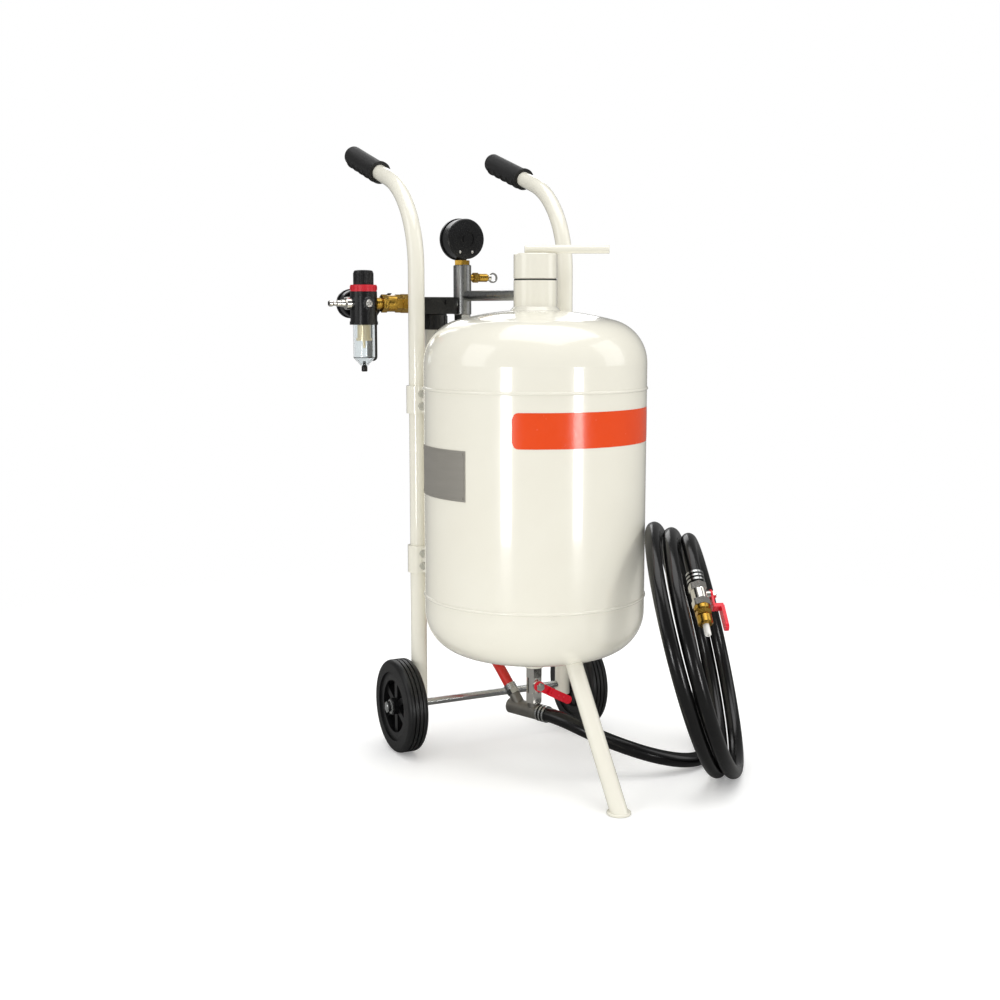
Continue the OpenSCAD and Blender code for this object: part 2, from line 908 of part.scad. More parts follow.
module regulator_body() {
    color("black")
        at_regulator()
            difference() {
                union() {
                    translate([0, 0, reg_low])
                        cylinder(h = reg_h, r = reg_r);
                    translate([0, 0, reg_low])
                        cylinder(h = 5, r = reg_r + 1);
                    for (a = [-90, 90, 180])
                        along([0, 0, line_z], [cos(a), sin(a), 0])
                            bar(reg_r + 1.5, 10, 1);
                }
                along([0, 0, line_z], [-1, 0, 0])
                    cylinder(h = reg_r + 4, r = 5);
                along([0, 0, line_z], [1, 0, 0])
                    cylinder(h = reg_r + 4, r = 5);
                along([0, 0, line_z], [0, 1, 0])
                    cylinder(h = reg_r + 4, r = 4);
                along([0, 0, line_z], [0, -1, 0])
                    translate([0, 0, reg_r - 4])
                        cylinder(h = 8, r = 4);
                translate([0, 0, reg_low - 1])
                    cylinder(h = 7, r = bowl_r);
                translate([0, 0, reg_top - 8])
                    cylinder(h = 9, r = 5 + run_fit);
            }
}

module lock_ring() {
    color("red")
        at_regulator()
            difference() {
                union() {
                    tube(reg_top, reg_top + 10, reg_r - 0.5, knob_r + 1);
                    for (i = [0 : 17])
                        rotate([0, 0, i * 20])
                            translate([reg_r - 1, -1.2, reg_top + 2])
                                cube([1.2, 2.4, 6]);
                }
                translate([0, 0, reg_top + 9])
                    cylinder(h = 2, r1 = knob_r + 0.5, r2 = knob_r + 3);
            }
}

module regulator_knob() {
    flutes = 14;
    color("black")
        at_regulator() {
            difference() {
                translate([0, 0, reg_top + 1])
                    rotate_extrude()
                        polygon([[0, 0], [knob_r, 0], [knob_r, knob_h - 5], [knob_r - 1.5, knob_h - 1],
                            [knob_r - 4, knob_h], [0, knob_h]]);
                for (i = [0 : flutes - 1])
                    rotate([0, 0, i * 360 / flutes])
                        translate([knob_r + 0.9, 0, reg_top + 12])
                            cylinder(h = knob_h, r = 2.2);
            }
            translate([0, 0, reg_top - 7.7])
                cylinder(h = 9, r = 5);
        }
}

module regulator_bowl() {
    color("lightcyan", 0.4)
        at_regulator()
            translate([0, 0, reg_low + 6])
                difference() {
                    bowl(bowl_r, bowl_l + 6, 2, 5.5, 12);
                    translate([0, 0, -bowl_l - 30])
                        cylinder(h = 20, r = 2.5 + run_fit);
                }
}

module filter_element() {
    color("burlywood")
        at_regulator() {
            translate([0, 0, reg_low - 20])
                cylinder(h = 26, r = 10);
            translate([0, 0, reg_low - 24])
                cylinder(h = 4, r = 12);
            translate([0, 0, reg_low - 25 - bowl_l * 0.2])
                cylinder(h = bowl_l * 0.2 + 1, r = 2);
        }
}

module drain_knob() {
    low = reg_low - bowl_l - 12;
    color("dimgray")
        at_regulator() {
            translate([0, 0, low - 9])
                bar(9 - shoulder, 4.5, 1);
            translate([0, 0, low - 1])
                cylinder(h = 8, r = 2.5);
        }
}

module port_plug() {
    color("silver")
        at_regulator()
            along([0, 0, line_z], [0, -1, 0])
                difference() {
                    union() {
                        translate([0, 0, reg_r - 4])
                            cylinder(h = 6, r = 4);
                        translate([0, 0, reg_r + 1.5])
                            bar(2, 5.5, 0.5);
                    }
                    translate([0, 0, reg_r + 2])
                        hex(3, 4);
                }
}

module inlet_plug() {
    color("silver")
        at_tank()
            translate([plug_x, line_y, line_z])
                rotate([0, -90, 0])
                    difference() {
                        union() {
                            rotate_extrude()
                                polygon([[0, 0], [9.5, 0], [9.5, 7], [8, 8.5], [5.5, 8.5],
                                    [5.5, 14], [4.75, 15], [4.75, plug_out - 13],
                                    [3.6, plug_out - 11], [3.6, plug_out - 7],
                                    [4.75, plug_out - 5], [4.75, plug_out - 1.5],
                                    [4, plug_out], [0, plug_out]]);
                            translate([0, 0, -12])
                                cylinder(h = 13, r = 5);
                        }
                        translate([0, 0, -13])
                            cylinder(h = plug_out + 15, r = 3);
                    }
}

module small_gauge_case() {
    color("black")
        at_small_gauge() {
            gauge_case(small_gauge_r, small_gauge_d);
            translate([0, 0, -15])
                hex(16, 11);
            translate([0, 0, -22])
                cylinder(h = 8, r = 4);
        }
}

module small_gauge_needle() {
    color("orangered")
        at_small_gauge()
            rotate([0, 0, 45])
                gauge_needle(small_gauge_r);
}

module air_hose() {
    color("firebrick")
        at_tank()
            sweep(air_route, air_hose_d / 2, [1, 0, 0], 14);
}

module air_hose_ferrules() {
    color("silver")
        at_tank() {
            translate([man_x, line_y, air_top[2]])
                difference() {
                    union() {
                        hex(16, 24);
                        translate([0, 0, 15])
                            cylinder(h = 9, r = manifold_r - 4);
                    }
                    translate([0, 0, -1])
                        cylinder(h = 30, r = 4.5);
                }
            along(branch_0, branch_dir)
                difference() {
                    union() {
                        translate([0, 0, stub_l])
                            hex(8, 17);
                        translate([0, 0, stub_l + 8])
                            cylinder(h = ferrule_l - 8, r = 8.6);
                        for (i = [0 : 2])
                            translate([0, 0, stub_l + 9 + i * 3])
                                cylinder(h = 1.6, r = 9.4);
                    }
                    translate([0, 0, stub_l - 1])
                        cylinder(h = ferrule_l + 2, r = 4.5);
                }
        }
}

module mixing_tee() {
    color("slategray")
        at_tank()
            difference() {
                union() {
                    along([tee_back * tee_dir[0], tee_back * tee_dir[1], tee_z], tee_dir)
                        bar(tee_front - tee_back, tee_r, 1);
                    translate([0, 0, tee_z])
                        cylinder(h = 15, r = 10);
                    along(branch_0, branch_dir)
                        cylinder(h = stub_l, r = 8.5);
                }
                along([branch_s * tee_dir[0], branch_s * tee_dir[1], tee_z], tee_dir)
                    translate([0, 0, -6])
                        cylinder(h = 60, r = 8);
                translate([0, 0, tee_z])
                    cylinder(h = 16, r = valve_bore);
                along(branch_0, branch_dir)
                    cylinder(h = stub_l + 1, r = 4.5);
            }
}

module outlet_socket() {
    color("ivory")
        at_tank()
            difference() {
                translate([0, 0, socket_low])
                    cylinder(h = 18, r = 15);
                tank_solid();
                translate([0, 0, socket_low - 1])
                    cylinder(h = 30, r = 8);
            }
}

meter_gland = 15;

module metering_valve_body() {
    color("silver")
        at_tank()
            translate([0, 0, meter_low])
                rotate([0, 0, 180])
                    valve_body(meter_l, 23, 11.5, meter_gland);
}

module at_meter_ball() {
    at_tank()
        translate([0, 0, socket_low - meter_l / 2])
            rotate([0, meter_droop, 0])
                mirror([0, 1, 0])
                    children();
}

module metering_valve_ball() {
    color("silver")
        at_meter_ball()
            valve_ball(meter_gland, 3);
}

module metering_lever() {
    color("red")
        at_meter_ball()
            valve_lever(meter_gland, lever_l, 13, 3, 6);
}

// Wire clamp rings at the given distances along +Z
module clamp_rings(places) {
    for (s = places)
        tube(s, s + nozzle_clamp_w, hose_d / 2 + 1.8, hose_d / 2);
}

module tee_hose_clamps() {
    color("silver")
        at_tank()
            along(run_start, tee_dir)
                clamp_rings([2, 8.5, 15]);
}

module front_leg() {
    foot = [0, -leg_reach, foot_t];
    top = [0, -leg_in, tank_low + 14];
    run = norm(top - foot);
    color("ivory")
        at_tank()
            difference() {
                along(foot, top - foot)
                    translate([0, 0, -20])
                        tube(0, run + 50, leg_r, leg_r - leg_wall);
                tank_solid();
                translate([-50, -leg_reach - 60, foot_t - 40])
                    cube([100, 100, 40]);
            }
}

module front_foot() {
    color("ivory")
        bar(foot_t, foot_r, 0.8);
}

// Moves children from the bend's end, +Z along the handle, to the +X side's handle
module at_handle() {
    at_tank()
        translate([post_x, axle_y + bend_r * (1 - cos(bend_angle)),
            bend_z + bend_r * sin(bend_angle)])
            rotate([-bend_angle, 0, 0])
                children();
}

// Solid run of the +X side's post and handle, of radius r, past both ends by over
module post_run(r, over) {
    at_tank()
        translate([post_x, axle_y, 0]) {
            translate([0, 0, post_low - over])
                cylinder(h = bend_z - post_low + over, r = r);
            translate([0, bend_r, bend_z])
                rotate([90, 0, -90])
                    rotate_extrude(angle = bend_angle)
                        translate([bend_r, 0])
                            circle(r = r);
        }
    at_handle()
        cylinder(h = handle_l + over, r = r);
}

// Post on the +X side, bent from one tube and drilled for the axle
module post() {
    difference() {
        post_run(post_r, 0);
        post_run(post_r - post_wall, 1);
        at_tank()
            translate([post_x - post_r - 1, axle_y, wheel_r])
                rotate([0, 90, 0])
                    cylinder(h = post_r * 2 + 2, r = axle_r);
    }
}

// Rubber grip on the +X side's handle, closed at its end, finger hollows underneath
module grip() {
    finger = (grip_l - 22) / 4;
    at_handle()
        translate([0, 0, handle_l - grip_l + 4])
            difference() {
                union() {
                    bar(grip_l, grip_r, 2);
                    cylinder(h = 4, r = grip_r + 2);
                }
                translate([0, 0, -1])
                    cylinder(h = grip_l - 3, r = post_r);
                for (i = [0 : 3])
                    translate([-20, grip_r + 8.5, 16 + (i + 0.5) * finger])
                        rotate([0, 90, 0])
                            cylinder(h = 40, r = 11);
            }
}

module left_post() {
    color("ivory")
        mirror([1, 0, 0])
            post();
}

module right_post() {
    color("ivory")
        post();
}

module left_grip() {
    color("black")
        mirror([1, 0, 0])
            grip();
}

module right_grip() {
    color("black")
        grip();
}

module post_brackets() {
    color("ivory")
        at_tank()
            for (side = [0, 1], z = [bracket_low_z, bracket_high_z])
                mirror([side, 0, 0])
                    difference() {
                        translate([post_x, axle_y, z - bracket_h / 2]) {
                            cylinder(h = bracket_h, r = post_r + collar_wall);
                            rotate([0, 0, 180 + post_angle])
                                translate([0, -11, 2])
                                    cube([post_r + post_gap + 3, 22, bracket_h - 4]);
                        }
                        cylinder(h = 2 * z, r = tank_r);
                        translate([post_x, axle_y, 0])
                            cylinder(h = 2 * z, r = post_r);
                        for (s = [-1, 1])
                            translate([post_x, axle_y, z + s * bolt_step])
                                rotate([90, 0, 0]) {
                                    cylinder(h = 40, r = bolt_r);
                                    translate([0, 0, post_r + collar_wall])
                                        cylinder(h = 24, r = bolt_head / sqrt(3) + head_room);
                                }
                    }
}

module bracket_bolts() {
    color("silver")
        at_tank()
            for (side = [0, 1], z = [bracket_low_z, bracket_high_z], s = [-1, 1])
                mirror([side, 0, 0])
                    difference() {
                        translate([post_x, axle_y, z + s * bolt_step])
                            rotate([90, 0, 0]) {
                                cylinder(h = post_r + collar_wall + 1, r = bolt_r);
                                translate([0, 0, post_r + collar_wall])
                                    hex(4.5, bolt_head);
                            }
                        translate([post_x, axle_y, z - bracket_h])
                            cylinder(h = bracket_h * 2, r = post_r);
                    }
}

module axle() {
    color("silver")
        at_tank()
            translate([-axle_end, axle_y, wheel_r])
                rotate([0, 90, 0])
                    bar(axle_end * 2, axle_r, 1);
}

module axle_nuts() {
    nut = wheel_in + hub_w + shoulder;
    color("silver")
        at_tank()
            for (side = [0, 1])
                mirror([side, 0, 0])
                    translate([nut, axle_y, wheel_r])
                        rotate([0, 90, 0])
                            difference() {
                                union() {
                                    cylinder(h = 1.5, r = 11);
                                    translate([0, 0, 1.5])
                                        hex(6, 16);
                                }
                                translate([0, 0, -1])
                                    cylinder(h = 20, r = axle_r);
                            }
}

// Tyre on the +X side
module tyre() {
    at_tank()
        translate([wheel_in + 1, axle_y, wheel_r])
            rotate([0, 90, 0])
                rotate_extrude($fn = 96)
                    difference() {
                        union() {
                            translate([rim_r, 3])
                                square([wheel_r - rim_r - 7, tyre_w - 6]);
                            translate([rim_r + 8, 7])
                                square([wheel_r - rim_r - 8, tyre_w - 14]);
                            for (y = [7, tyre_w - 7])
                                translate([wheel_r - 7, y])
                                    circle(r = 7);
                            translate([rim_r + 8, 0])
                                square([wheel_r - rim_r - 15, tyre_w]);
                        }
                        for (i = [-1 : 1])
                            translate([wheel_r - 2.5, tyre_w / 2 + i * 6.5 - 1])
                                square([4, 2]);
                    }
}

// Spoked hub on the +X side
module hub() {
    at_tank()
        translate([wheel_in, axle_y, wheel_r])
            rotate([0, 90, 0])
                difference() {
                    union() {
                        tube(4, hub_w - 4, rim_r, rim_r - 5);
                        tube(4, 6.5, rim_r + 3, rim_r - 5);
                        tube(hub_w - 6.5, hub_w - 4, rim_r + 3, rim_r - 5);
                        cylinder(h = hub_w, r = axle_r + 7);
                        for (i = [0 : spokes - 1])
                            rotate([0, 0, i * 360 / spokes])
                                translate([axle_r + 3, -5, 8])
                                    cube([rim_r - axle_r - 7, 10, hub_w - 16]);
                    }
                    translate([0, 0, -1])
                        cylinder(h = hub_w + 2, r = axle_r + run_fit);
                }
}

module tyre_on_rim() {
    difference() {
        tyre();
        at_tank()
            translate([wheel_in, axle_y, wheel_r])
                rotate([0, 90, 0])
                    for (z = [4, hub_w - 6.5])
                        translate([0, 0, z])
                            cylinder(h = 2.5, r = rim_r + 3);
    }
}

module left_tyre() {
    color("dimgray")
        mirror([1, 0, 0])
            tyre_on_rim();
}

module left_hub() {
    color("black")
        mirror([1, 0, 0])
            hub();
}

module right_tyre() {
    color("dimgray")
        tyre_on_rim();
}

module right_hub() {
    color("black")
        hub();
}

module data_plate() {
    t = 0.8;
    low = tan_low + 178;
    h = 72;
    color("lightsteelblue")
        at_tank() {
            rotate([0, 0, 162])
                rotate_extrude(angle = 44)
                    translate([tank_r, low])
                        square([t, h]);
            for (a = [164, 204], z = [low + 5, low + h - 5])
                rotate([0, 0, a])
                    translate([tank_r + 0.2, 0, z])
                        rotate([0, 90, 0])
                            cylinder(h = 1.6, r = 2.2);
        }
}

module hose_run() {
    color("dimgray")
        at_tank()
            sweep(run_points, hose_d / 2, [0, 0, 1], 12);
}

module hose_coil() {
    color("dimgray")
        at_tank()
            sweep(coil_points, hose_d / 2, coil_flat, 6);
}

module at_nozzle() {
    at_tank()
        along(coil_end, coil_out)
            children();
}

module nozzle_clamps() {
    color("silver")
        at_nozzle()
            clamp_rings([-6, -12, -18]);
}

nozzle_gland = 15;

module nozzle_valve_body() {
    color("silver")
        at_nozzle()
            valve_body(nozzle_valve_l, 23, 11.5, nozzle_gland);
}

module nozzle_valve_ball() {
    color("silver")
        at_nozzle()
            translate([0, 0, nozzle_valve_l / 2])
                rotate([0, -90, 0])
                    valve_ball(nozzle_gland, 3);
}

module nozzle_lever() {
    color("red")
        at_nozzle()
            translate([0, 0, nozzle_valve_l / 2])
                rotate([0, -90, 0])
                    valve_lever(nozzle_gland, lever_l, 13, 3, 12);
}

module nozzle_holder() {
    color("goldenrod")
        at_nozzle()
            translate([0, 0, nozzle_valve_l])
                difference() {
                    union() {
                        bar(7, 12, 1);
                        translate([0, 0, 6])
                            hex(holder_l * 0.3, 20);
                        translate([0, 0, 6 + holder_l * 0.3])
                            bar(holder_l * 0.7 - 6, 11, 2);
                    }
                    translate([0, 0, -1])
                        cylinder(h = 14, r = valve_bore);
                    translate([0, 0, 12])
                        cylinder(h = holder_l, r = 4.5);
                }
}

module nozzle_tip() {
    color("white")
        at_nozzle()
            translate([0, 0, nozzle_valve_l + 13])
                difference() {
                    bar(holder_l - 13 + tip_l, 4.5, 0.8);
                    translate([0, 0, -1])
                        cylinder(h = holder_l + tip_l, r = nozzle_bore);
                }
}

tank_shell();
filler_neck();
cap_gasket();
filler_cap();
cap_bar();
air_manifold();
gauge_bushing();
main_gauge_case();
main_gauge_needle();
gauge_lenses();
relief_valve_body();
relief_stem();
separator_head();
separator_bowl();
line_nipples();
inlet_valve_body();
inlet_valve_ball();
inlet_lever();
regulator_body();
lock_ring();
regulator_knob();
regulator_bowl();
filter_element();
drain_knob();
port_plug();
inlet_plug();
small_gauge_case();
small_gauge_needle();
air_hose();
air_hose_ferrules();
mixing_tee();
outlet_socket();
metering_valve_body();
metering_valve_ball();
metering_lever();
tee_hose_clamps();
front_leg();
front_foot();
left_post();
right_post();
left_grip();
right_grip();
post_brackets();
bracket_bolts();
axle();
axle_nuts();
left_tyre();
left_hub();
right_tyre();
right_hub();
data_plate();
hose_run();
hose_coil();
nozzle_clamps();
nozzle_valve_body();
nozzle_valve_ball();
nozzle_lever();
nozzle_holder();
nozzle_tip();
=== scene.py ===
"""Looks of a wheeled pressure-pot abrasive blaster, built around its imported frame.

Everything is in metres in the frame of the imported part: the origin is the middle of the
front foot's underside, +Z is up and +Y runs towards the wheels and handles.
"""

import logging
import math
from dataclasses import dataclass, field
from enum import Enum
from typing import Sequence

import bmesh
import bpy
from mathutils import Matrix, Vector


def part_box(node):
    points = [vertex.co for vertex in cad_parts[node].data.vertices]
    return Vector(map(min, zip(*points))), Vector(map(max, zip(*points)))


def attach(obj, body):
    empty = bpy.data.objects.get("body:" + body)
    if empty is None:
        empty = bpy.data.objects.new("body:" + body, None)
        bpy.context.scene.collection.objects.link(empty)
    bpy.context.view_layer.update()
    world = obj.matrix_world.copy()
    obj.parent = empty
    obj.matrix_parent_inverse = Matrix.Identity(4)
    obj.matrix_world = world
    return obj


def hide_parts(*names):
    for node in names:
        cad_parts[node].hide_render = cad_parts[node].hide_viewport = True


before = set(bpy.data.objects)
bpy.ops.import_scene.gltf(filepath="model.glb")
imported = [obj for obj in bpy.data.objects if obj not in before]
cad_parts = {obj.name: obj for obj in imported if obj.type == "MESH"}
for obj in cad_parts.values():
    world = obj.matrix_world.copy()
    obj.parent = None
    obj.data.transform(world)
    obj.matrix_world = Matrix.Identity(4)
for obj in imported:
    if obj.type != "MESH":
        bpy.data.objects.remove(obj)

LOG = logging.getLogger("blaster")
MM = 0.001
ROOT = "blaster_frame"
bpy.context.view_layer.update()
Point = tuple[float, float, float]

# Edges sharper than these angles stay sharp, on the frame's nodes and on added pieces.
NODE_CREASE = math.radians(34)
PIECE_CREASE = math.radians(40)
# Degrees from +X in which the mixing tee sends its blast hose.
TEE_HEADING = -70.0
# Depth of each gauge's round case, without its port.
CASE_DEPTH = {"main_gauge_case": 30 * MM, "small_gauge_case": 24 * MM}
# Last numeral on both gauges.
GAUGE_FULL = 16
# Sockets of the colour mix node, whose names are shared between its data types.
MIX_FACTOR, MIX_A, MIX_B, MIX_RESULT = 0, 6, 7, 2
WHITE = (1, 1, 1, 1)
# How many times wider the broad patches of a surface are than its fine ones.
BROAD_PATCH = 12.0


# --------------------------------------------------------------------------- materials


def linear(code: str) -> tuple[float, float, float, float]:
    """Turns an sRGB hex colour into the linear colour that the shaders take.

    Args:
        code: Six hex digits after a hash sign.

    Returns:
        Red, green, blue and an alpha of 1.
    """
    parts = [int(code[i : i + 2], 16) / 255 for i in (1, 3, 5)]
    lin = [p / 12.92 if p <= 0.04045 else ((p + 0.055) / 1.055) ** 2.4 for p in parts]
    return (lin[0], lin[1], lin[2], 1.0)


def add_node(
    tree: bpy.types.NodeTree,
    kind: str,
    values: dict[str | int, object] | None = None,
    links: dict[str | int, bpy.types.NodeSocket] | None = None,
    **settings: object,
) -> bpy.types.Node:
    """Adds one node with its settings, its unlinked values and its incoming links.

    Args:
        tree: The node tree that takes the node.
        kind: Blender's name for the node's type.
        values: Input socket to value.
        links: Input socket to the output that feeds it.
        **settings: Properties of the node itself.

    Returns:
        The new node.
    """
    node = tree.nodes.new(kind)
    for key, value in settings.items():
        setattr(node, key, value)
    for key, value in (values or {}).items():
        node.inputs[key].default_value = value
    for key, socket in (links or {}).items():
        tree.links.new(socket, node.inputs[key])
    return node


class Pattern(Enum):
    """How the small variation of a surface is laid."""

    MOTTLE = "soft cloudy patches"
    GRAINS = "packed grains"
    LINES = "the same patches, drawn out into lines by the stretch"


@dataclass(frozen=True)
class Finish:
    """One real surface: its colour, its gloss and the fine relief that it was made with.

    The second colour shows through the first in broad patches, by as much as the tone.
    """

    name: str
    colour: str
    second: str
    roughness: float
    pattern: Pattern = Pattern.MOTTLE
    size_mm: float = 3.0
    stretch: Point = (1.0, 1.0, 1.0)
    tone: float = 0.5
    rough_spread: float = 0.06
    relief_mm: float = 0.02
    metallic: float = 0.0
    coat: float = 0.0
    coat_roughness: float = 0.1
    transmission: float = 0.0
    ior: float = 1.5

    def build(self) -> bpy.types.Material:
        """Makes the material, or gives back the one already made.

        Returns:
            The material.
        """
        found = bpy.data.materials.get(self.name)
        if found:
            return found
        mat = bpy.data.materials.new(self.name)
        mat.use_nodes = True
        tree = mat.node_tree
        tree.nodes.clear()
        place = add_node(tree, "ShaderNodeTexCoord")
        mapped = add_node(
            tree,
            "ShaderNodeMapping",
            {"Scale": self.stretch},
            {"Vector": place.outputs["Object"]},
        )
        cells = 1.0 / (self.size_mm * MM)
        if self.pattern is Pattern.GRAINS:
            fine = add_node(
                tree,
                "ShaderNodeTexVoronoi",
                {"Scale": cells},
                {"Vector": mapped.outputs["Vector"]},
            ).outputs["Distance"]
        else:
            fine = add_node(
                tree,
                "ShaderNodeTexNoise",
                {"Scale": cells, "Detail": 3.0, "Roughness": 0.55},
                {"Vector": mapped.outputs["Vector"]},
            ).outputs["Fac"]
        broad = add_node(
            tree,
            "ShaderNodeTexNoise",
            {"Scale": cells / BROAD_PATCH, "Detail": 4.0, "Roughness": 0.6},
            {"Vector": mapped.outputs["Vector"]},
        ).outputs["Fac"]
        amount = add_node(
            tree,
            "ShaderNodeMapRange",
            {"From Min": 0.3, "From Max": 0.7, "To Min": 0.0, "To Max": self.tone},
            {"Value": broad},
        )
        tint = add_node(
            tree,
            "ShaderNodeMix",
            {MIX_A: linear(self.colour), MIX_B: linear(self.second)},
            {MIX_FACTOR: amount.outputs["Result"]},
            data_type="RGBA",
        )
        rough = add_node(
            tree,
            "ShaderNodeMapRange",
            {
                "From Min": 0.25,
                "From Max": 0.75,
                "To Min": max(0.02, self.roughness - self.rough_spread),
                "To Max": min(1.0, self.roughness + self.rough_spread),
            },
            {"Value": fine},
        )
        bump = add_node(
            tree,
            "ShaderNodeBump",
            {"Strength": 1.0, "Distance": self.relief_mm * MM},
            {"Height": fine},
        )
        shader = add_node(
            tree,
            "ShaderNodeBsdfPrincipled",
            {
                "Metallic": self.metallic,
                "IOR": self.ior,
                "Coat Weight": self.coat,
                "Coat Roughness": self.coat_roughness,
                "Transmission Weight": self.transmission,
            },
            {
                "Base Color": tint.outputs[MIX_RESULT],
                "Roughness": rough.outputs["Result"],
                "Normal": bump.outputs["Normal"],
            },
        )
        add_node(
            tree,
            "ShaderNodeOutputMaterial",
            links={"Surface": shader.outputs["BSDF"]},
        )
        return mat


# Stoved gloss enamel, sprayed: a warm cream that is nearly white in the light, with the
# faint orange peel of spray.
CREAM_ENAMEL = Finish(
    "sprayed_cream_enamel", "#EDEADC", "#E9E5D6", 0.2, size_mm=7.0, tone=0.5,
    rough_spread=0.03, relief_mm=0.02, coat=0.8, coat_roughness=0.05,
)
# Bright zinc plate on turned steel: a cool grey with cloudy bloom.
ZINC_PLATE = Finish(
    "bright_zinc_plate", "#D3D4D2", "#BFC1C2", 0.22, size_mm=4.0, metallic=1.0,
    rough_spread=0.06, relief_mm=0.006,
)
# Cold-drawn steel tube, left bare and oiled: drawn lines and a darker tone.
DRAWN_STEEL = Finish(
    "cold_drawn_steel", "#A6A7A5", "#85868A", 0.32, Pattern.LINES, size_mm=1.2,
    stretch=(1.0, 1.0, 0.15), metallic=1.0, rough_spread=0.1, relief_mm=0.01,
)
# Nickel plate on turned brass: warm silver, almost a mirror.
NICKEL_PLATE = Finish(
    "nickel_plate", "#F0EDE6", "#DDD9D0", 0.14, size_mm=2.0, metallic=1.0,
    rough_spread=0.05, relief_mm=0.006,
)
# Turned free-cutting brass: yellow metal with tool lines and a little tarnish.
TURNED_BRASS = Finish(
    "turned_brass", "#C9A148", "#A9812F", 0.24, Pattern.LINES, size_mm=0.9,
    stretch=(1.0, 0.2, 0.2), metallic=1.0, rough_spread=0.08, relief_mm=0.01,
)
# Sintered bronze filter: pressed grains of about half a millimetre, matt.
SINTERED_BRONZE = Finish(
    "sintered_bronze", "#C8A567", "#A98549", 0.55, Pattern.GRAINS, size_mm=1.0,
    metallic=0.6, relief_mm=0.2,
)
# Malleable iron casting, zinc dipped: rough grey sand skin.
SAND_CAST_IRON = Finish(
    "sand_cast_iron", "#8C8982", "#74726D", 0.44, Pattern.GRAINS, size_mm=1.4,
    metallic=0.85, rough_spread=0.12, relief_mm=0.08,
)
# Die-cast zinc under black powder coat: satin, with the coat's fine pebble.
BLACK_POWDER_COAT = Finish(
    "black_powder_coat", "#0B0B0C", "#111213", 0.26, size_mm=0.8, coat=0.2,
    relief_mm=0.015,
)
# Injection-moulded black nylon: spark-eroded texture, low gloss.
MOULDED_NYLON = Finish(
    "moulded_black_nylon", "#0C0C0D", "#131415", 0.32, Pattern.GRAINS, size_mm=0.7,
    rough_spread=0.08, relief_mm=0.02,
)
# Moulded black rubber grip: matt, with a little bloom.
MOULDED_RUBBER = Finish(
    "moulded_black_rubber", "#0D0D0D", "#161616", 0.5, size_mm=1.5, tone=0.7,
    rough_spread=0.1, relief_mm=0.04,
)
# Tyre rubber, compression moulded: matt dark grey with scuffs.
TYRE_RUBBER = Finish(
    "moulded_tyre_rubber", "#0C0C0D", "#191A1A", 0.42, size_mm=2.2, tone=0.8,
    rough_spread=0.12, relief_mm=0.06,
)
# Extruded hose cover: smooth black rubber with a soft sheen and faint drawn marks.
EXTRUDED_HOSE = Finish(
    "extruded_hose_rubber", "#070707", "#0E0E0E", 0.22, size_mm=4.0, tone=0.6,
    rough_spread=0.06, relief_mm=0.02,
)
# Extruded red air hose: smooth PVC and rubber blend.
RED_HOSE = Finish(
    "extruded_red_hose", "#CF2A20", "#B5221B", 0.32, size_mm=2.6, relief_mm=0.03,
)
# Dip-moulded red vinyl sleeve: glossy, thick and slightly uneven.
DIPPED_VINYL = Finish(
    "dipped_red_vinyl", "#E4192F", "#D21428", 0.24, size_mm=4.0, coat=0.3,
    relief_mm=0.08,
)
# Moulded red acetal ring: even colour and a soft shine.
MOULDED_ACETAL = Finish(
    "moulded_red_acetal", "#CE2030", "#B91A2A", 0.32, size_mm=1.0, relief_mm=0.01,
)
# Milky moulded polypropylene bowl: light passes a little way in.
MILKY_POLYPROPYLENE = Finish(
    "milky_polypropylene", "#DCD9CE", "#CFCBBE", 0.36, size_mm=3.0, relief_mm=0.02,
    transmission=0.2, ior=1.49,
)
# Clear moulded polycarbonate: faint grey, glass clear, flow marks hardly seen.
CLEAR_POLYCARBONATE = Finish(
    "clear_polycarbonate", "#EEF2F3", "#E4EAEC", 0.06, size_mm=9.0, tone=0.4,
    rough_spread=0.02, relief_mm=0.01, transmission=1.0, ior=1.58,
)
# Fired white ceramic nozzle: dense and slightly glossy.
FIRED_CERAMIC = Finish(
    "fired_white_ceramic", "#F5F4EF", "#ECEAE2", 0.3, size_mm=0.8, relief_mm=0.01,
)
# Rolled aluminium plate, satin: fine level lines.
ROLLED_ALUMINIUM = Finish(
    "rolled_aluminium", "#B4B0A7", "#A5A198", 0.38, Pattern.LINES, size_mm=0.8,
    stretch=(0.1, 0.1, 1.0), metallic=0.55, relief_mm=0.008,
)
# Printed vinyl film, plain: flat orange-red with a satin laminate.
VINYL_FILM = Finish(
    "orange_vinyl_film", "#E84A12", "#DF430F", 0.22, size_mm=6.0, tone=0.4,
    relief_mm=0.01, coat=0.2,
)
# Painted dial card: flat white.
DIAL_WHITE = Finish(
    "printed_white_dial", "#F2F2EE", "#E9E9E4", 0.5, size_mm=1.0, relief_mm=0.004,
)
# Printed numerals: flat black ink.
DIAL_BLACK = Finish(
    "printed_black_ink", "#16171A", "#1D1E21", 0.5, size_mm=0.6, relief_mm=0.002,
)
# Painted pointer: orange-red lacquer.
POINTER_RED = Finish(
    "lacquered_pointer", "#D8401E", "#C83A1B", 0.35, size_mm=1.0, relief_mm=0.004,
)

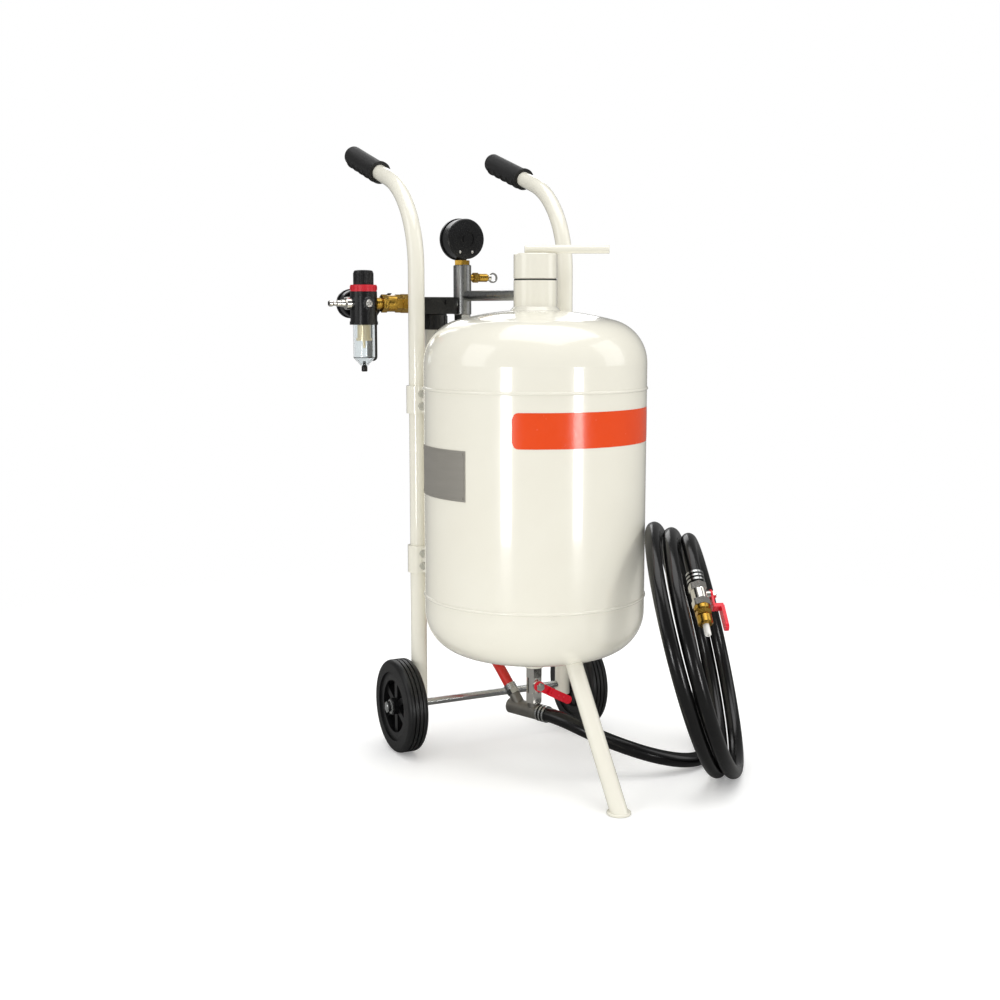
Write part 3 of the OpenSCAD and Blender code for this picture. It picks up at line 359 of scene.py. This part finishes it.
NODE_FINISH: dict[str, Finish] = {
    "tank_shell": CREAM_ENAMEL,
    "filler_neck": CREAM_ENAMEL,
    "outlet_socket": CREAM_ENAMEL,
    "front_leg": CREAM_ENAMEL,
    "front_foot": CREAM_ENAMEL,
    "left_post": CREAM_ENAMEL,
    "right_post": CREAM_ENAMEL,
    "post_brackets": CREAM_ENAMEL,
    "cap_gasket": MOULDED_RUBBER,
    "left_grip": MOULDED_RUBBER,
    "right_grip": MOULDED_RUBBER,
    "filler_cap": CREAM_ENAMEL,
    "cap_bar": CREAM_ENAMEL,
    "bracket_bolts": ZINC_PLATE,
    "axle": ZINC_PLATE,
    "axle_nuts": ZINC_PLATE,
    "tee_hose_clamps": ZINC_PLATE,
    "nozzle_clamps": ZINC_PLATE,
    "air_manifold": DRAWN_STEEL,
    "air_hose_ferrules": ZINC_PLATE,
    "relief_stem": NICKEL_PLATE,
    "gauge_bushing": TURNED_BRASS,
    "relief_valve_body": TURNED_BRASS,
    "line_nipples": TURNED_BRASS,
    "inlet_valve_body": TURNED_BRASS,
    "nozzle_holder": TURNED_BRASS,
    "main_gauge_case": BLACK_POWDER_COAT,
    "small_gauge_case": BLACK_POWDER_COAT,
    "separator_head": MOULDED_NYLON,
    "regulator_knob": MOULDED_NYLON,
    "left_hub": MOULDED_NYLON,
    "right_hub": MOULDED_NYLON,
    "inlet_lever": MOULDED_NYLON,
    "drain_knob": MOULDED_NYLON,
    "regulator_body": BLACK_POWDER_COAT,
    "gauge_lenses": CLEAR_POLYCARBONATE,
    "regulator_bowl": CLEAR_POLYCARBONATE,
    "separator_bowl": MILKY_POLYPROPYLENE,
    "lock_ring": MOULDED_ACETAL,
    "metering_lever": DIPPED_VINYL,
    "nozzle_lever": DIPPED_VINYL,
    "main_gauge_needle": POINTER_RED,
    "small_gauge_needle": POINTER_RED,
    "filter_element": SINTERED_BRONZE,
    "port_plug": NICKEL_PLATE,
    "inlet_plug": NICKEL_PLATE,
    "metering_valve_body": NICKEL_PLATE,
    "nozzle_valve_body": NICKEL_PLATE,
    "inlet_valve_ball": NICKEL_PLATE,
    "metering_valve_ball": NICKEL_PLATE,
    "nozzle_valve_ball": NICKEL_PLATE,
    "air_hose": RED_HOSE,
    "mixing_tee": SAND_CAST_IRON,
    "left_tyre": TYRE_RUBBER,
    "right_tyre": TYRE_RUBBER,
    "data_plate": ROLLED_ALUMINIUM,
    "hose_run": EXTRUDED_HOSE,
    "hose_coil": EXTRUDED_HOSE,
    "nozzle_tip": FIRED_CERAMIC,
}


def dress_nodes(nodes: dict[str, bpy.types.Object]) -> None:
    """Gives every carried-over node its finish and smooth shading over curved faces.

    Args:
        nodes: Node name to the object that the frame holds.
    """
    for name, obj in nodes.items():
        obj.data.materials.clear()
        obj.data.materials.append(NODE_FINISH[name].build())
        obj.data.shade_smooth()
        obj.data.set_sharp_from_angle(angle=NODE_CREASE)
    LOG.info("dressed %d nodes", len(nodes))


# ------------------------------------------------------------------------------ meshes


def add_mesh(name: str, mesh: bpy.types.Mesh, finish: Finish) -> bpy.types.Object:
    """Links a finished mesh to the scene, riding on the blaster's frame.

    Args:
        name: Name of the piece.
        mesh: Its mesh, in the frame's metres.
        finish: Its surface.

    Returns:
        The new object.
    """
    obj = bpy.data.objects.new(name, mesh)
    bpy.context.scene.collection.objects.link(obj)
    mesh.materials.append(finish.build())
    mesh.shade_smooth()
    mesh.set_sharp_from_angle(angle=PIECE_CREASE)
    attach(obj, ROOT)
    LOG.info("%s: %d faces", name, len(mesh.polygons))
    return obj


def smooth_path(points: Sequence[Vector], steps: int) -> list[Vector]:
    """Runs a smooth curve through points, denser between them.

    Args:
        points: The points that the curve passes through.
        steps: Pieces that each gap is cut into.

    Returns:
        Points along the curve, the first and last ones as given.
    """
    ends = [2 * points[0] - points[1], *points, 2 * points[-1] - points[-2]]
    out: list[Vector] = []
    for i in range(1, len(ends) - 2):
        a, b, c, d = ends[i - 1 : i + 3]
        for k in range(steps):
            t = k / steps
            out.append(
                0.5
                * (
                    2 * b
                    + (c - a) * t
                    + (2 * a - 5 * b + 4 * c - d) * t**2
                    + (3 * b - a - 3 * c + d) * t**3
                )
            )
    return [*out, points[-1].copy()]


def plain_mesh(name: str, bm: bmesh.types.BMesh) -> bpy.types.Mesh:
    """Turns a worked mesh into a plain one and frees it.

    Args:
        name: Name of the mesh.
        bm: The worked mesh.

    Returns:
        The plain mesh.
    """
    mesh = bpy.data.meshes.new(name)
    bm.to_mesh(mesh)
    bm.free()
    return mesh


def add_ring(
    bm: bmesh.types.BMesh,
    middle: Vector,
    radius: float,
    axes: tuple[Vector, Vector],
    sides: int,
) -> list[bmesh.types.BMVert]:
    """Adds the vertices of one circle.

    Args:
        bm: The mesh that takes them.
        middle: Middle of the circle.
        radius: Its radius.
        axes: Two unit vectors that span its plane.
        sides: How many vertices it has.

    Returns:
        The vertices in order.
    """
    side, other = axes
    return [
        bm.verts.new(
            middle
            + radius * math.cos(math.tau * k / sides) * side
            + radius * math.sin(math.tau * k / sides) * other
        )
        for k in range(sides)
    ]


def close_rings(bm: bmesh.types.BMesh, rings: Sequence[list[bmesh.types.BMVert]]) -> None:
    """Joins each ring of vertices to the next one and caps both ends.

    Args:
        bm: The mesh that holds them.
        rings: Rings of as many vertices each.
    """
    for lower, upper in zip(rings, rings[1:]):
        for k in range(len(lower)):
            n = (k + 1) % len(lower)
            bm.faces.new((lower[k], lower[n], upper[n], upper[k]))
    bm.faces.new(reversed(rings[0]))
    bm.faces.new(rings[-1])


def tube_mesh(
    name: str, points: Sequence[Vector], radius: float | Sequence[float], sides: int
) -> bpy.types.Mesh:
    """Sweeps a round section along a path, closed at both ends.

    Args:
        name: Name of the mesh.
        points: The centre line.
        radius: Outer radius, or one for each point.
        sides: Sides of the section.

    Returns:
        The closed mesh.
    """
    bm = bmesh.new()
    radii = [radius] * len(points) if isinstance(radius, float) else radius
    heading = (points[1] - points[0]).normalized()
    side = heading.orthogonal().normalized()
    rings = []
    for i, p in enumerate(points):
        ahead = points[min(i + 1, len(points) - 1)] - points[max(i - 1, 0)]
        ahead.normalize()
        side = (side - ahead * side.dot(ahead)).normalized()
        rings.append(add_ring(bm, p, radii[i], (side, ahead.cross(side)), sides))
    close_rings(bm, rings)
    return plain_mesh(name, bm)


def turned_mesh(name: str, rings: Sequence[tuple[Vector, float]], sides: int) -> bpy.types.Mesh:
    """Makes a closed round solid along a straight line, from its middle points and radii.

    Args:
        name: Name of the mesh.
        rings: Middle and radius of each ring.
        sides: Sides of each ring.

    Returns:
        The closed mesh.
    """
    axis = (rings[-1][0] - rings[0][0]).normalized()
    side = axis.orthogonal().normalized()
    axes = (side, axis.cross(side))
    bm = bmesh.new()
    close_rings(bm, [add_ring(bm, middle, radius, axes, sides) for middle, radius in rings])
    bmesh.ops.recalc_face_normals(bm, faces=bm.faces)
    return plain_mesh(name, bm)


# ------------------------------------------------------------------------------- hoses


@dataclass
class BlastHose:
    """The blast hose: from the tee over the floor into leaning loops, all one tube.

    Its lengths are in millimetres and its angles in degrees, but for the diameter, which
    is in metres.
    """

    diameter: float = 22 * MM
    tee_end: Point = (3.42, 240.6, 80.0)
    tee_heading: float = TEE_HEADING
    run: tuple[Point, ...] = (
        (22, 195, 77),
        (38, 170, 69),
        (58, 147, 59),
        (84, 127, 48),
        (113, 113, 37),
        (144, 106, 27),
        (175, 106, 19),
        (203, 113, 14),
        (228, 127, 12),
        (248, 147, 15),
        (263, 170, 26),
    )
    centre: tuple[float, float] = (173.7, 122.7)
    loop_radius: float = 184.0
    loop_shrink: float = -4.0
    loop_step: float = 24.5
    lean: float = 15.0
    heading: float = 53.0
    first_angle: float = -40.0
    last_angle: float = 800.0
    tail_radius: float = 95.0
    tail_turn: float = 60.0
    clear: float = 0.5
    angle_step: int = 5
    run_steps: int = 4
    sides: int = 24
    fittings: tuple[str, ...] = (
        "nozzle_clamps",
        "nozzle_valve_body",
        "nozzle_valve_ball",
        "nozzle_lever",
        "nozzle_holder",
        "nozzle_tip",
    )
    across: Vector = field(init=False)
    sideways: Vector = field(init=False)
    upward: Vector = field(init=False)

    def __post_init__(self) -> None:
        """Works out the coil's own directions from its heading and lean."""
        turn, lean = math.radians(self.heading), math.radians(self.lean)
        self.across = Vector((math.cos(turn), math.sin(turn), 0))
        self.sideways = Vector((math.sin(turn), -math.cos(turn), 0))
        self.upward = math.cos(lean) * Vector((0, 0, 1)) - math.sin(lean) * self.sideways

    def loop_size(self, angle: float) -> float:
        """Gives the radius of the loops, which shrinks a little with each turn.

        Args:
            angle: Angle along the coil.

        Returns:
            The radius there.
        """
        return self.loop_radius + self.loop_shrink * (angle - self.first_angle) / 360

    def loop_middle(self, angle: float) -> Vector:
        """Gives the middle of the loops, which steps sideways with each turn.

        Args:
            angle: Angle along the coil.

        Returns:
            The middle there, so high that the hose just clears the floor.
        """
        rise = self.diameter / MM / 2 + self.clear
        rise += self.loop_size(angle) * math.cos(math.radians(self.lean))
        turns = (angle - self.first_angle) / 360
        return Vector((*self.centre, rise)) + self.loop_step * turns * self.sideways

    def spoke(self, angle: float) -> Vector:
        """Points from the loops' middle towards the hose.

        Args:
            angle: Angle along the coil.

        Returns:
            A unit vector.
        """
        a = math.radians(angle)
        return math.cos(a) * self.across + math.sin(a) * self.upward

    def loop_point(self, angle: float) -> Vector:
        """Finds the centre line within the loops.

        Args:
            angle: Angle along the coil.

        Returns:
            The point there.
        """
        return self.loop_middle(angle) + self.loop_size(angle) * self.spoke(angle)

    def tail_point(self, turned: float) -> Vector:
        """Finds the centre line of the loose end, which bends tighter than the loops.

        Args:
            turned: Angle past the end of the loops.

        Returns:
            The point there.
        """
        drift = self.loop_step * turned / 360 * self.sideways
        inward = (self.loop_size(self.last_angle) - self.tail_radius) * self.spoke(self.last_angle)
        out = self.tail_radius * self.spoke(self.last_angle + turned)
        return self.loop_middle(self.last_angle) + drift + inward + out

    def centre_line(self) -> list[Vector]:
        """Lays the whole centre line from the tee to the nozzle valve.

        Returns:
            Its points in metres.
        """
        d = self.diameter / MM
        start = Vector(self.tee_end)
        turn = math.radians(self.tee_heading)
        out = Vector((math.cos(turn), math.sin(turn), 0))
        into = self.loop_point(self.first_angle + 1) - self.loop_point(self.first_angle)
        into.normalize()
        coil_start = self.loop_point(self.first_angle) - d * into
        knots = [start, start + d * out, *map(Vector, self.run)]
        knots += [coil_start - d * into, coil_start]
        run = smooth_path([*knots, self.loop_point(self.first_angle)], self.run_steps)
        step = self.angle_step
        loops = round((self.last_angle - self.first_angle) / step)
        coil = [self.loop_point(self.first_angle + step * i) for i in range(1, loops + 1)]
        tail = [self.tail_point(step * i) for i in range(1, round(self.tail_turn / step) + 1)]
        away = self.tail_point(self.tail_turn) - self.tail_point(self.tail_turn - 1)
        away.normalize()
        end = self.tail_point(self.tail_turn) + d * away
        return [p * MM for p in [*run, *coil, *tail, end]]

    def build(self) -> bpy.types.Object:
        """Returns:
            The hose.
        """
        line = self.centre_line()
        obj = add_mesh(
            "blast_hose",
            tube_mesh("blast_hose", line, self.diameter / 2, self.sides),
            EXTRUDED_HOSE,
        )
        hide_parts("hose_run", "hose_coil")
        return obj


@dataclass
class AirHose:
    """The red hose that carries air from the manifold down to the mixing tee.

    Its lengths are in millimetres and its angles in degrees, but for the radius, which is
    in metres.
    """

    node: str = "air_hose"
    radius: float = 8 * MM
    behind: tuple[float, float] = (-34.99, 428.0)
    top: float = 664.4
    drops: tuple[float, ...] = (0, 20, 120, 240)
    tangent_low: float = 242.2
    bend: tuple[Point, ...] = (
        (0, 0, 60),
        (0, -2, -15),
        (1, -14, -45),
        (4, -36, -70),
        (8, -62, -86),
        (12, -88, -98),
    )
    tee_middle: Point = (0, 250, 80)
    tee_heading: float = TEE_HEADING
    branch_rise: float = 50.0
    branch_back: float = 25.0
    branch_reach: float = 42.0
    last_straight: float = 24.0
    run_steps: int = 6
    sides: int = 20

    def branch(self) -> tuple[Vector, Vector]:
        """Finds the mouth of the tee's branch.

        Returns:
            The mouth and the direction in which it points.
        """
        rise = math.radians(self.branch_rise)
        turn = math.radians(self.tee_heading)
        ahead = Vector((math.cos(turn), math.sin(turn), 0))
        out = Vector((-math.cos(rise) * ahead.x, -math.cos(rise) * ahead.y, math.sin(rise)))
        middle = Vector(self.tee_middle)
        return middle - self.branch_back * ahead + self.branch_reach * out, out

    def build(self) -> bpy.types.Object:
        """Makes the hose along its route.

        Returns:
            The hose.
        """
        x, y = self.behind
        end, out = self.branch()
        knots = [(x, y, self.top - drop) for drop in self.drops]
        knots += [(x + a, y + b, self.tangent_low + c) for a, b, c in self.bend]
        points = [Vector(k) for k in knots] + [end + self.last_straight * out, end]
        line = [p * MM for p in smooth_path(points, self.run_steps)]
        obj = add_mesh(
            "air_hose_tube",
            tube_mesh("air_hose_tube", line, self.radius, self.sides),
            RED_HOSE,
        )
        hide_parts(self.node)
        return obj


# -------------------------------------------------------------------------------- tank


@dataclass
class TankBand:
    """The plain vinyl band across the front of the tank.

    The bead is how far the shell's weld beads stand proud of it.
    """

    start: float = -129.0
    stop: float = -35.0
    low: float = 498 * MM
    high: float = 548 * MM
    corner: float = 9 * MM
    bead: float = 1.6 * MM
    stand: float = 0.15 * MM
    thick: float = 0.25 * MM
    columns: int = 96

    def build(self) -> bpy.types.Object:
        """Bends the film round the shell, its corners rounded.

        Returns:
            The band.
        """
        low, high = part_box("tank_shell")
        middle = (low + high) / 2
        shell = (high.x - low.x) / 2 - self.bead
        width = math.radians(self.stop - self.start) * shell
        inner = shell + self.stand
        outer = shell + self.stand + self.thick
        bm = bmesh.new()
        rings = []
        for i in range(self.columns + 1):
            share = i / self.columns
            angle = math.radians(self.start + (self.stop - self.start) * share)
            near = min(share, 1 - share) * width
            cut = 0.0
            if near < self.corner:
                cut = self.corner - math.sqrt(self.corner**2 - (self.corner - near) ** 2)
            foot, head = self.low + cut, self.high - cut
            rings.append(
                [
                    bm.verts.new(
                        (
                            middle.x + radius * math.cos(angle),
                            middle.y + radius * math.sin(angle),
                            z,
                        )
                    )
                    for radius, z in ((inner, foot), (outer, foot), (outer, head), (inner, head))
                ]
            )
        for a, b in zip(rings, rings[1:]):
            for k in range(len(a)):
                n = (k + 1) % len(a)
                bm.faces.new((a[k], b[k], b[n], a[n]))
        bm.faces.new(rings[0])
        bm.faces.new(reversed(rings[-1]))
        bmesh.ops.recalc_face_normals(bm, faces=bm.faces)
        return add_mesh("tank_band", plain_mesh("tank_band", bm), VINYL_FILM)


@dataclass
class PlateBorder:
    """Raised border of the blank data plate."""

    node: str = "data_plate"
    tank_y: float = 250 * MM
    start: float = 162.0
    turn: float = 44.0
    inset: float = 3.0 * MM
    width: float = 0.9 * MM
    face: float = 165.8 * MM
    steps: int = 24
    sides: int = 8

    def build(self) -> None:
        """Runs four thin bars just inside the plate's edges."""
        low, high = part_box(self.node)
        centre = Vector((0, self.tank_y, 0))
        edge = math.degrees(self.inset / self.face)
        first, last = self.start + edge, self.start + self.turn - edge
        for name, z in (("foot", low.z + self.inset), ("head", high.z - self.inset)):
            arc = [
                centre + self.on_face(first + (last - first) * k / self.steps, z)
                for k in range(self.steps + 1)
            ]
            self.bar(name, arc)
        for name, angle in (("front", last), ("rear", first)):
            foot = centre + self.on_face(angle, low.z + self.inset)
            head = centre + self.on_face(angle, high.z - self.inset)
            self.bar(name, [foot, head])

    def on_face(self, angle: float, z: float) -> Vector:
        """Finds a point on the plate's face.

        Args:
            angle: Angle round the tank.
            z: Height.

        Returns:
            The point, from the tank's axis.
        """
        a = math.radians(angle)
        return Vector((self.face * math.cos(a), self.face * math.sin(a), z))

    def bar(self, name: str, points: Sequence[Vector]) -> None:
        """Adds one bar.

        Args:
            name: Which side of the border it is.
            points: The points that it runs along.
        """
        mesh = tube_mesh(f"plate_border_{name}", points, self.width / 2, self.sides)
        add_mesh(mesh.name, mesh, ROLLED_ALUMINIUM)


# ------------------------------------------------------------------------------ gauges


def case_back(case: str) -> float:
    """Finds the back of a gauge's round case along +Y, without its port.

    Args:
        case: The case's node.

    Returns:
        Its place along +Y.
    """
    _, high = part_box(case)
    return high.y - CASE_DEPTH[case]


@dataclass
class Dial:
    """White card of a gauge with its numerals, facing +Y.

    The numerals' size and reach are shares of the case's radius.
    """

    case: str
    name: str
    full: int
    floor: float = 8.0 * MM
    card: float = 0.35 * MM
    wall: float = 5.1 * MM
    pin: float = 1.5 * MM
    sides: int = 64
    steps: int = 4
    low_angle: float = 225.0
    sweep: float = 270.0
    numeral_size: float = 0.24
    numeral_reach: float = 0.47
    ink: float = 0.05 * MM
    ink_lift: float = 0.07 * MM

    def build(self) -> None:
        """Lays the card on the case's floor and the numerals on the card."""
        low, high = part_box(self.case)
        middle = (low + high) / 2
        radius = (high.x - low.x) / 2
        middle.z = high.z - radius
        back = case_back(self.case) + self.floor
        face = back + self.card
        rim = radius - self.wall
        bm = bmesh.new()
        axes = (Vector((1, 0, 0)), Vector((0, 0, 1)))
        loops = [
            add_ring(bm, Vector((middle.x, y, middle.z)), r, axes, self.sides)
            for r, y in ((self.pin, back), (self.pin, face), (rim, face), (rim, back))
        ]
        for a, b in zip(loops, [*loops[1:], loops[0]]):
            for k in range(self.sides):
                n = (k + 1) % self.sides
                bm.faces.new((a[k], a[n], b[n], b[k]))
        bmesh.ops.recalc_face_normals(bm, faces=bm.faces)
        add_mesh(self.name, plain_mesh(self.name, bm), DIAL_WHITE)
        for i in range(self.steps + 1):
            self.numeral(i, middle, face, radius)

    def numeral(self, index: int, middle: Vector, face: float, radius: float) -> None:
        """Sets one numeral on the card.

        Args:
            index: Its place on the scale, 0 at the low end.
            middle: Middle of the dial.
            face: Place of the card's face along +Y.
            radius: Radius of the case.
        """
        curve = bpy.data.curves.new(f"{self.name}_numeral_{index}", "FONT")
        curve.body = str(round(self.full * index / self.steps))
        curve.size = radius * self.numeral_size
        curve.align_x = "CENTER"
        curve.align_y = "CENTER"
        curve.extrude = self.ink
        obj = bpy.data.objects.new(curve.name, curve)
        bpy.context.scene.collection.objects.link(obj)
        angle = math.radians(self.low_angle - self.sweep / self.steps * index)
        reach = radius * self.numeral_reach
        place = Matrix.Translation(
            (
                middle.x - reach * math.cos(angle),
                face + self.ink_lift,
                middle.z + reach * math.sin(angle),
            )
        )
        facing = Matrix.Rotation(math.pi, 4, "Z") @ Matrix.Rotation(math.pi / 2, 4, "X")
        obj.matrix_world = place @ facing
        bpy.context.view_layer.update()
        mesh = bpy.data.meshes.new_from_object(obj)
        mesh.transform(obj.matrix_world)
        bpy.data.objects.remove(obj)
        mesh.name = curve.name
        mesh.materials.clear()
        add_mesh(curve.name, mesh, DIAL_BLACK)


@dataclass
class GaugeScrews:
    """Two screw heads in the back of the main gauge.

    Their places are shares of the case's radius, and the profile's steps are shares of
    the head's depth and radius.
    """

    case: str = "main_gauge_case"
    radius: float = 1.95 * MM
    sunk: float = 0.9 * MM
    proud: float = 0.6 * MM
    aside: float = 0.32
    below: float = 0.62
    profile: tuple[tuple[float, float], ...] = ((0.0, 1.0), (0.6, 1.0), (0.85, 0.8), (1.0, 0.45))
    sides: int = 20

    def build(self) -> None:
        """Sets one domed head in each of the two sinkings."""
        low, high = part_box(self.case)
        reach = (high.x - low.x) / 2
        middle = (low + high) / 2
        depth = self.sunk + self.proud
        for name, side in (("left", -1), ("right", 1)):
            x = middle.x + side * self.aside * reach
            z = high.z - reach - self.below * reach
            start = Vector((x, case_back(self.case) + self.sunk, z))
            rings = [
                (start - Vector((0, depth * t, 0)), self.radius * r) for t, r in self.profile
            ]
            mesh = turned_mesh("gauge_screw", rings, self.sides)
            add_mesh(f"gauge_screw_{name}", mesh, NICKEL_PLATE)


# ------------------------------------------------------------------------------- grips


@dataclass
class GripRidges:
    """Finger ridges moulded round the underside of a handle grip."""

    grip: str
    count: int = 5
    first: float = 17 * MM
    pitch: float = 24 * MM
    grip_length: float = 125 * MM
    grip_radius: float = 16 * MM
    thick: float = 4.2 * MM
    tip: float = 0.3 * MM
    sunk: float = 1.6 * MM
    spread: float = 80.0
    lean: float = 72.5
    steps: int = 16
    sides: int = 12

    def build(self) -> None:
        """Lays the ridges, each a crescent that thins out towards its ends."""
        low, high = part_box(self.grip)
        lean = math.radians(self.lean)
        along = Vector((0, math.sin(lean), math.cos(lean)))
        down = Vector((0, math.cos(lean), -math.sin(lean)))
        across = Vector((1, 0, 0))
        end = Vector(((low.x + high.x) / 2, 0, 0))
        end.y = high.y - self.grip_radius * abs(down.y)
        end.z = high.z - self.grip_radius * abs(down.z)
        start = end - self.grip_length * along
        reach = self.grip_radius - self.sunk
        shares = [2 * k / self.steps - 1 for k in range(self.steps + 1)]
        radii = [self.tip + self.thick * math.sqrt(max(0.0, 1 - share**2)) for share in shares]
        for i in range(self.count):
            middle = start + (self.first + i * self.pitch) * along
            points = []
            for share in shares:
                angle = math.radians(self.spread) * share
                points.append(middle + reach * (math.cos(angle) * down + math.sin(angle) * across))
            mesh = tube_mesh(f"{self.grip}_ridge_{i}", points, radii, self.sides)
            add_mesh(mesh.name, mesh, MOULDED_RUBBER)


# ------------------------------------------------------------------------------- stage


@dataclass(frozen=True)
class SoftBox:
    """One rectangular lamp that the camera doesn't see."""

    name: str
    place: Point
    aim: Point
    size: tuple[float, float]
    watts: float

    def hang(self) -> None:
        """Adds the lamp to the scene."""
        data = bpy.data.lights.new(self.name, "AREA")
        data.shape = "RECTANGLE"
        data.size, data.size_y = self.size
        data.energy = self.watts
        obj = bpy.data.objects.new(self.name, data)
        obj.location = self.place
        look = Vector(self.aim) - Vector(self.place)
        obj.rotation_euler = look.to_track_quat("-Z", "Y").to_euler()
        obj.visible_camera = False
        bpy.context.scene.collection.objects.link(obj)


MIDDLE: Point = (0.0, 0.25, 0.45)
LOW_MIDDLE: Point = (0.0, 0.25, 0.3)
SOFT_BOXES = (
    SoftBox("top_box", (0.2, 0.0, 2.9), MIDDLE, (2.4, 2.4), 36),
    SoftBox("left_strip", (-1.84, -1.0, 0.29), LOW_MIDDLE, (0.4, 0.55), 8),
    SoftBox("right_strip", (0.55, -1.85, 0.29), LOW_MIDDLE, (0.36, 0.5), 7),
    SoftBox("left_fill", (-2.2, 0.3, 1.5), MIDDLE, (1.2, 1.8), 9),
    SoftBox("right_fill", (1.9, -0.9, 1.5), MIDDLE, (1.2, 1.8), 9),
    SoftBox("back_box", (0.6, 2.6, 1.7), MIDDLE, (2.0, 1.4), 14),
)


@dataclass
class Studio:
    """Camera, floor, world and lamps."""

    eye: Point = (-0.96465, -1.56256, 0.68796)
    pitch: float = 82.17
    yaw: float = -26.575
    lens: float = 49.80
    sensor: float = 36.0
    nearest: float = 0.01
    floor: str = "#F6F6F5"
    floor_in_gloss: str = "#8A8A89"
    floor_reach: float = 3.0
    floor_place: Point = (0.0, 0.2, -0.0004)
    floor_lift: float = 0.2
    fade_start: float = 0.75
    fade_stop: float = 1.7
    soft_light: float = 0.62
    gloss_light: float = 0.2

    def camera(self) -> None:
        """Sets the camera where the photograph was taken from."""
        data = bpy.data.cameras.new("camera")
        data.lens = self.lens
        data.sensor_width = self.sensor
        data.clip_start = self.nearest
        cam = bpy.data.objects.new("camera", data)
        cam.location = self.eye
        cam.rotation_euler = (math.radians(self.pitch), 0, math.radians(self.yaw))
        bpy.context.scene.collection.objects.link(cam)
        bpy.context.scene.camera = cam

    def ground(self) -> None:
        """Lays the pale floor: lifted to white for the camera, grey in gloss, fading out."""
        mesh = bpy.data.meshes.new("studio_floor")
        reach = self.floor_reach
        corners = [(-reach, -reach, 0), (reach, -reach, 0), (reach, reach, 0), (-reach, reach, 0)]
        mesh.from_pydata(corners, [], [(0, 1, 2, 3)])
        obj = bpy.data.objects.new("studio_floor", mesh)
        obj.location = self.floor_place
        bpy.context.scene.collection.objects.link(obj)
        mat = bpy.data.materials.new("studio_floor")
        mat.use_nodes = True
        tree = mat.node_tree
        tree.nodes.clear()
        path = add_node(tree, "ShaderNodeLightPath")
        seen = add_node(
            tree,
            "ShaderNodeMix",
            {MIX_A: linear(self.floor), MIX_B: linear(self.floor_in_gloss)},
            {MIX_FACTOR: path.outputs["Is Glossy Ray"]},
            data_type="RGBA",
        )
        matt = add_node(tree, "ShaderNodeBsdfDiffuse", links={"Color": seen.outputs[MIX_RESULT]})
        lift = add_node(
            tree,
            "ShaderNodeMath",
            {1: self.floor_lift},
            {0: path.outputs["Is Camera Ray"]},
            operation="MULTIPLY",
        )
        glow = add_node(
            tree,
            "ShaderNodeEmission",
            {"Color": WHITE},
            {"Strength": lift.outputs[0]},
        )
        both = add_node(tree, "ShaderNodeAddShader", links={0: matt.outputs[0], 1: glow.outputs[0]})
        place = add_node(tree, "ShaderNodeTexCoord")
        far = add_node(
            tree, "ShaderNodeVectorMath", links={0: place.outputs["Object"]}, operation="LENGTH"
        )
        fade = add_node(
            tree,
            "ShaderNodeMapRange",
            {"From Min": self.fade_start, "From Max": self.fade_stop},
            {"Value": far.outputs["Value"]},
            interpolation_type="SMOOTHSTEP",
        )
        clear = add_node(tree, "ShaderNodeBsdfTransparent")
        mixed = add_node(
            tree,
            "ShaderNodeMixShader",
            links={0: fade.outputs["Result"], 1: both.outputs[0], 2: clear.outputs[0]},
        )
        add_node(tree, "ShaderNodeOutputMaterial", links={"Surface": mixed.outputs[0]})
        mesh.materials.append(mat)

    def world(self) -> None:
        """Shows white to the eye and through clear pieces, dim to gloss, soft to the rest."""
        scene = bpy.context.scene
        scene.view_settings.view_transform = "Standard"
        world = bpy.data.worlds.new("studio")
        scene.world = world
        world.use_nodes = True
        tree = world.node_tree
        tree.nodes.clear()
        path = add_node(tree, "ShaderNodeLightPath")
        clear = add_node(
            tree,
            "ShaderNodeMath",
            links={0: path.outputs["Is Camera Ray"], 1: path.outputs["Is Transmission Ray"]},
            operation="MAXIMUM",
        )
        fill = add_node(
            tree,
            "ShaderNodeMapRange",
            {"To Min": self.soft_light, "To Max": self.gloss_light},
            {"Value": path.outputs["Is Glossy Ray"]},
        )
        level = add_node(
            tree,
            "ShaderNodeMath",
            links={0: fill.outputs["Result"], 1: clear.outputs[0]},
            operation="MAXIMUM",
        )
        sky = add_node(
            tree,
            "ShaderNodeBackground",
            {"Color": WHITE},
            {"Strength": level.outputs[0]},
        )
        add_node(tree, "ShaderNodeOutputWorld", links={"Surface": sky.outputs[0]})

    def lamps(self) -> None:
        """Hangs the soft boxes: one high, two low strips in front, fills round the rest."""
        for box in SOFT_BOXES:
            box.hang()


def main() -> None:
    """Builds the camera, then each sub-assembly in order, then the rest of the studio."""
    logging.basicConfig(level=logging.INFO, format="%(name)s: %(message)s")
    studio = Studio()
    studio.camera()
    BlastHose().build()
    dress_nodes(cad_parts)
    AirHose().build()
    TankBand().build()
    Dial("main_gauge_case", "main_dial", GAUGE_FULL).build()
    Dial("small_gauge_case", "small_dial", GAUGE_FULL).build()
    GaugeScrews().build()
    GripRidges("left_grip").build()
    GripRidges("right_grip").build()
    PlateBorder().build()
    studio.ground()
    studio.world()
    studio.lamps()


if __name__ == "__main__":
    main()
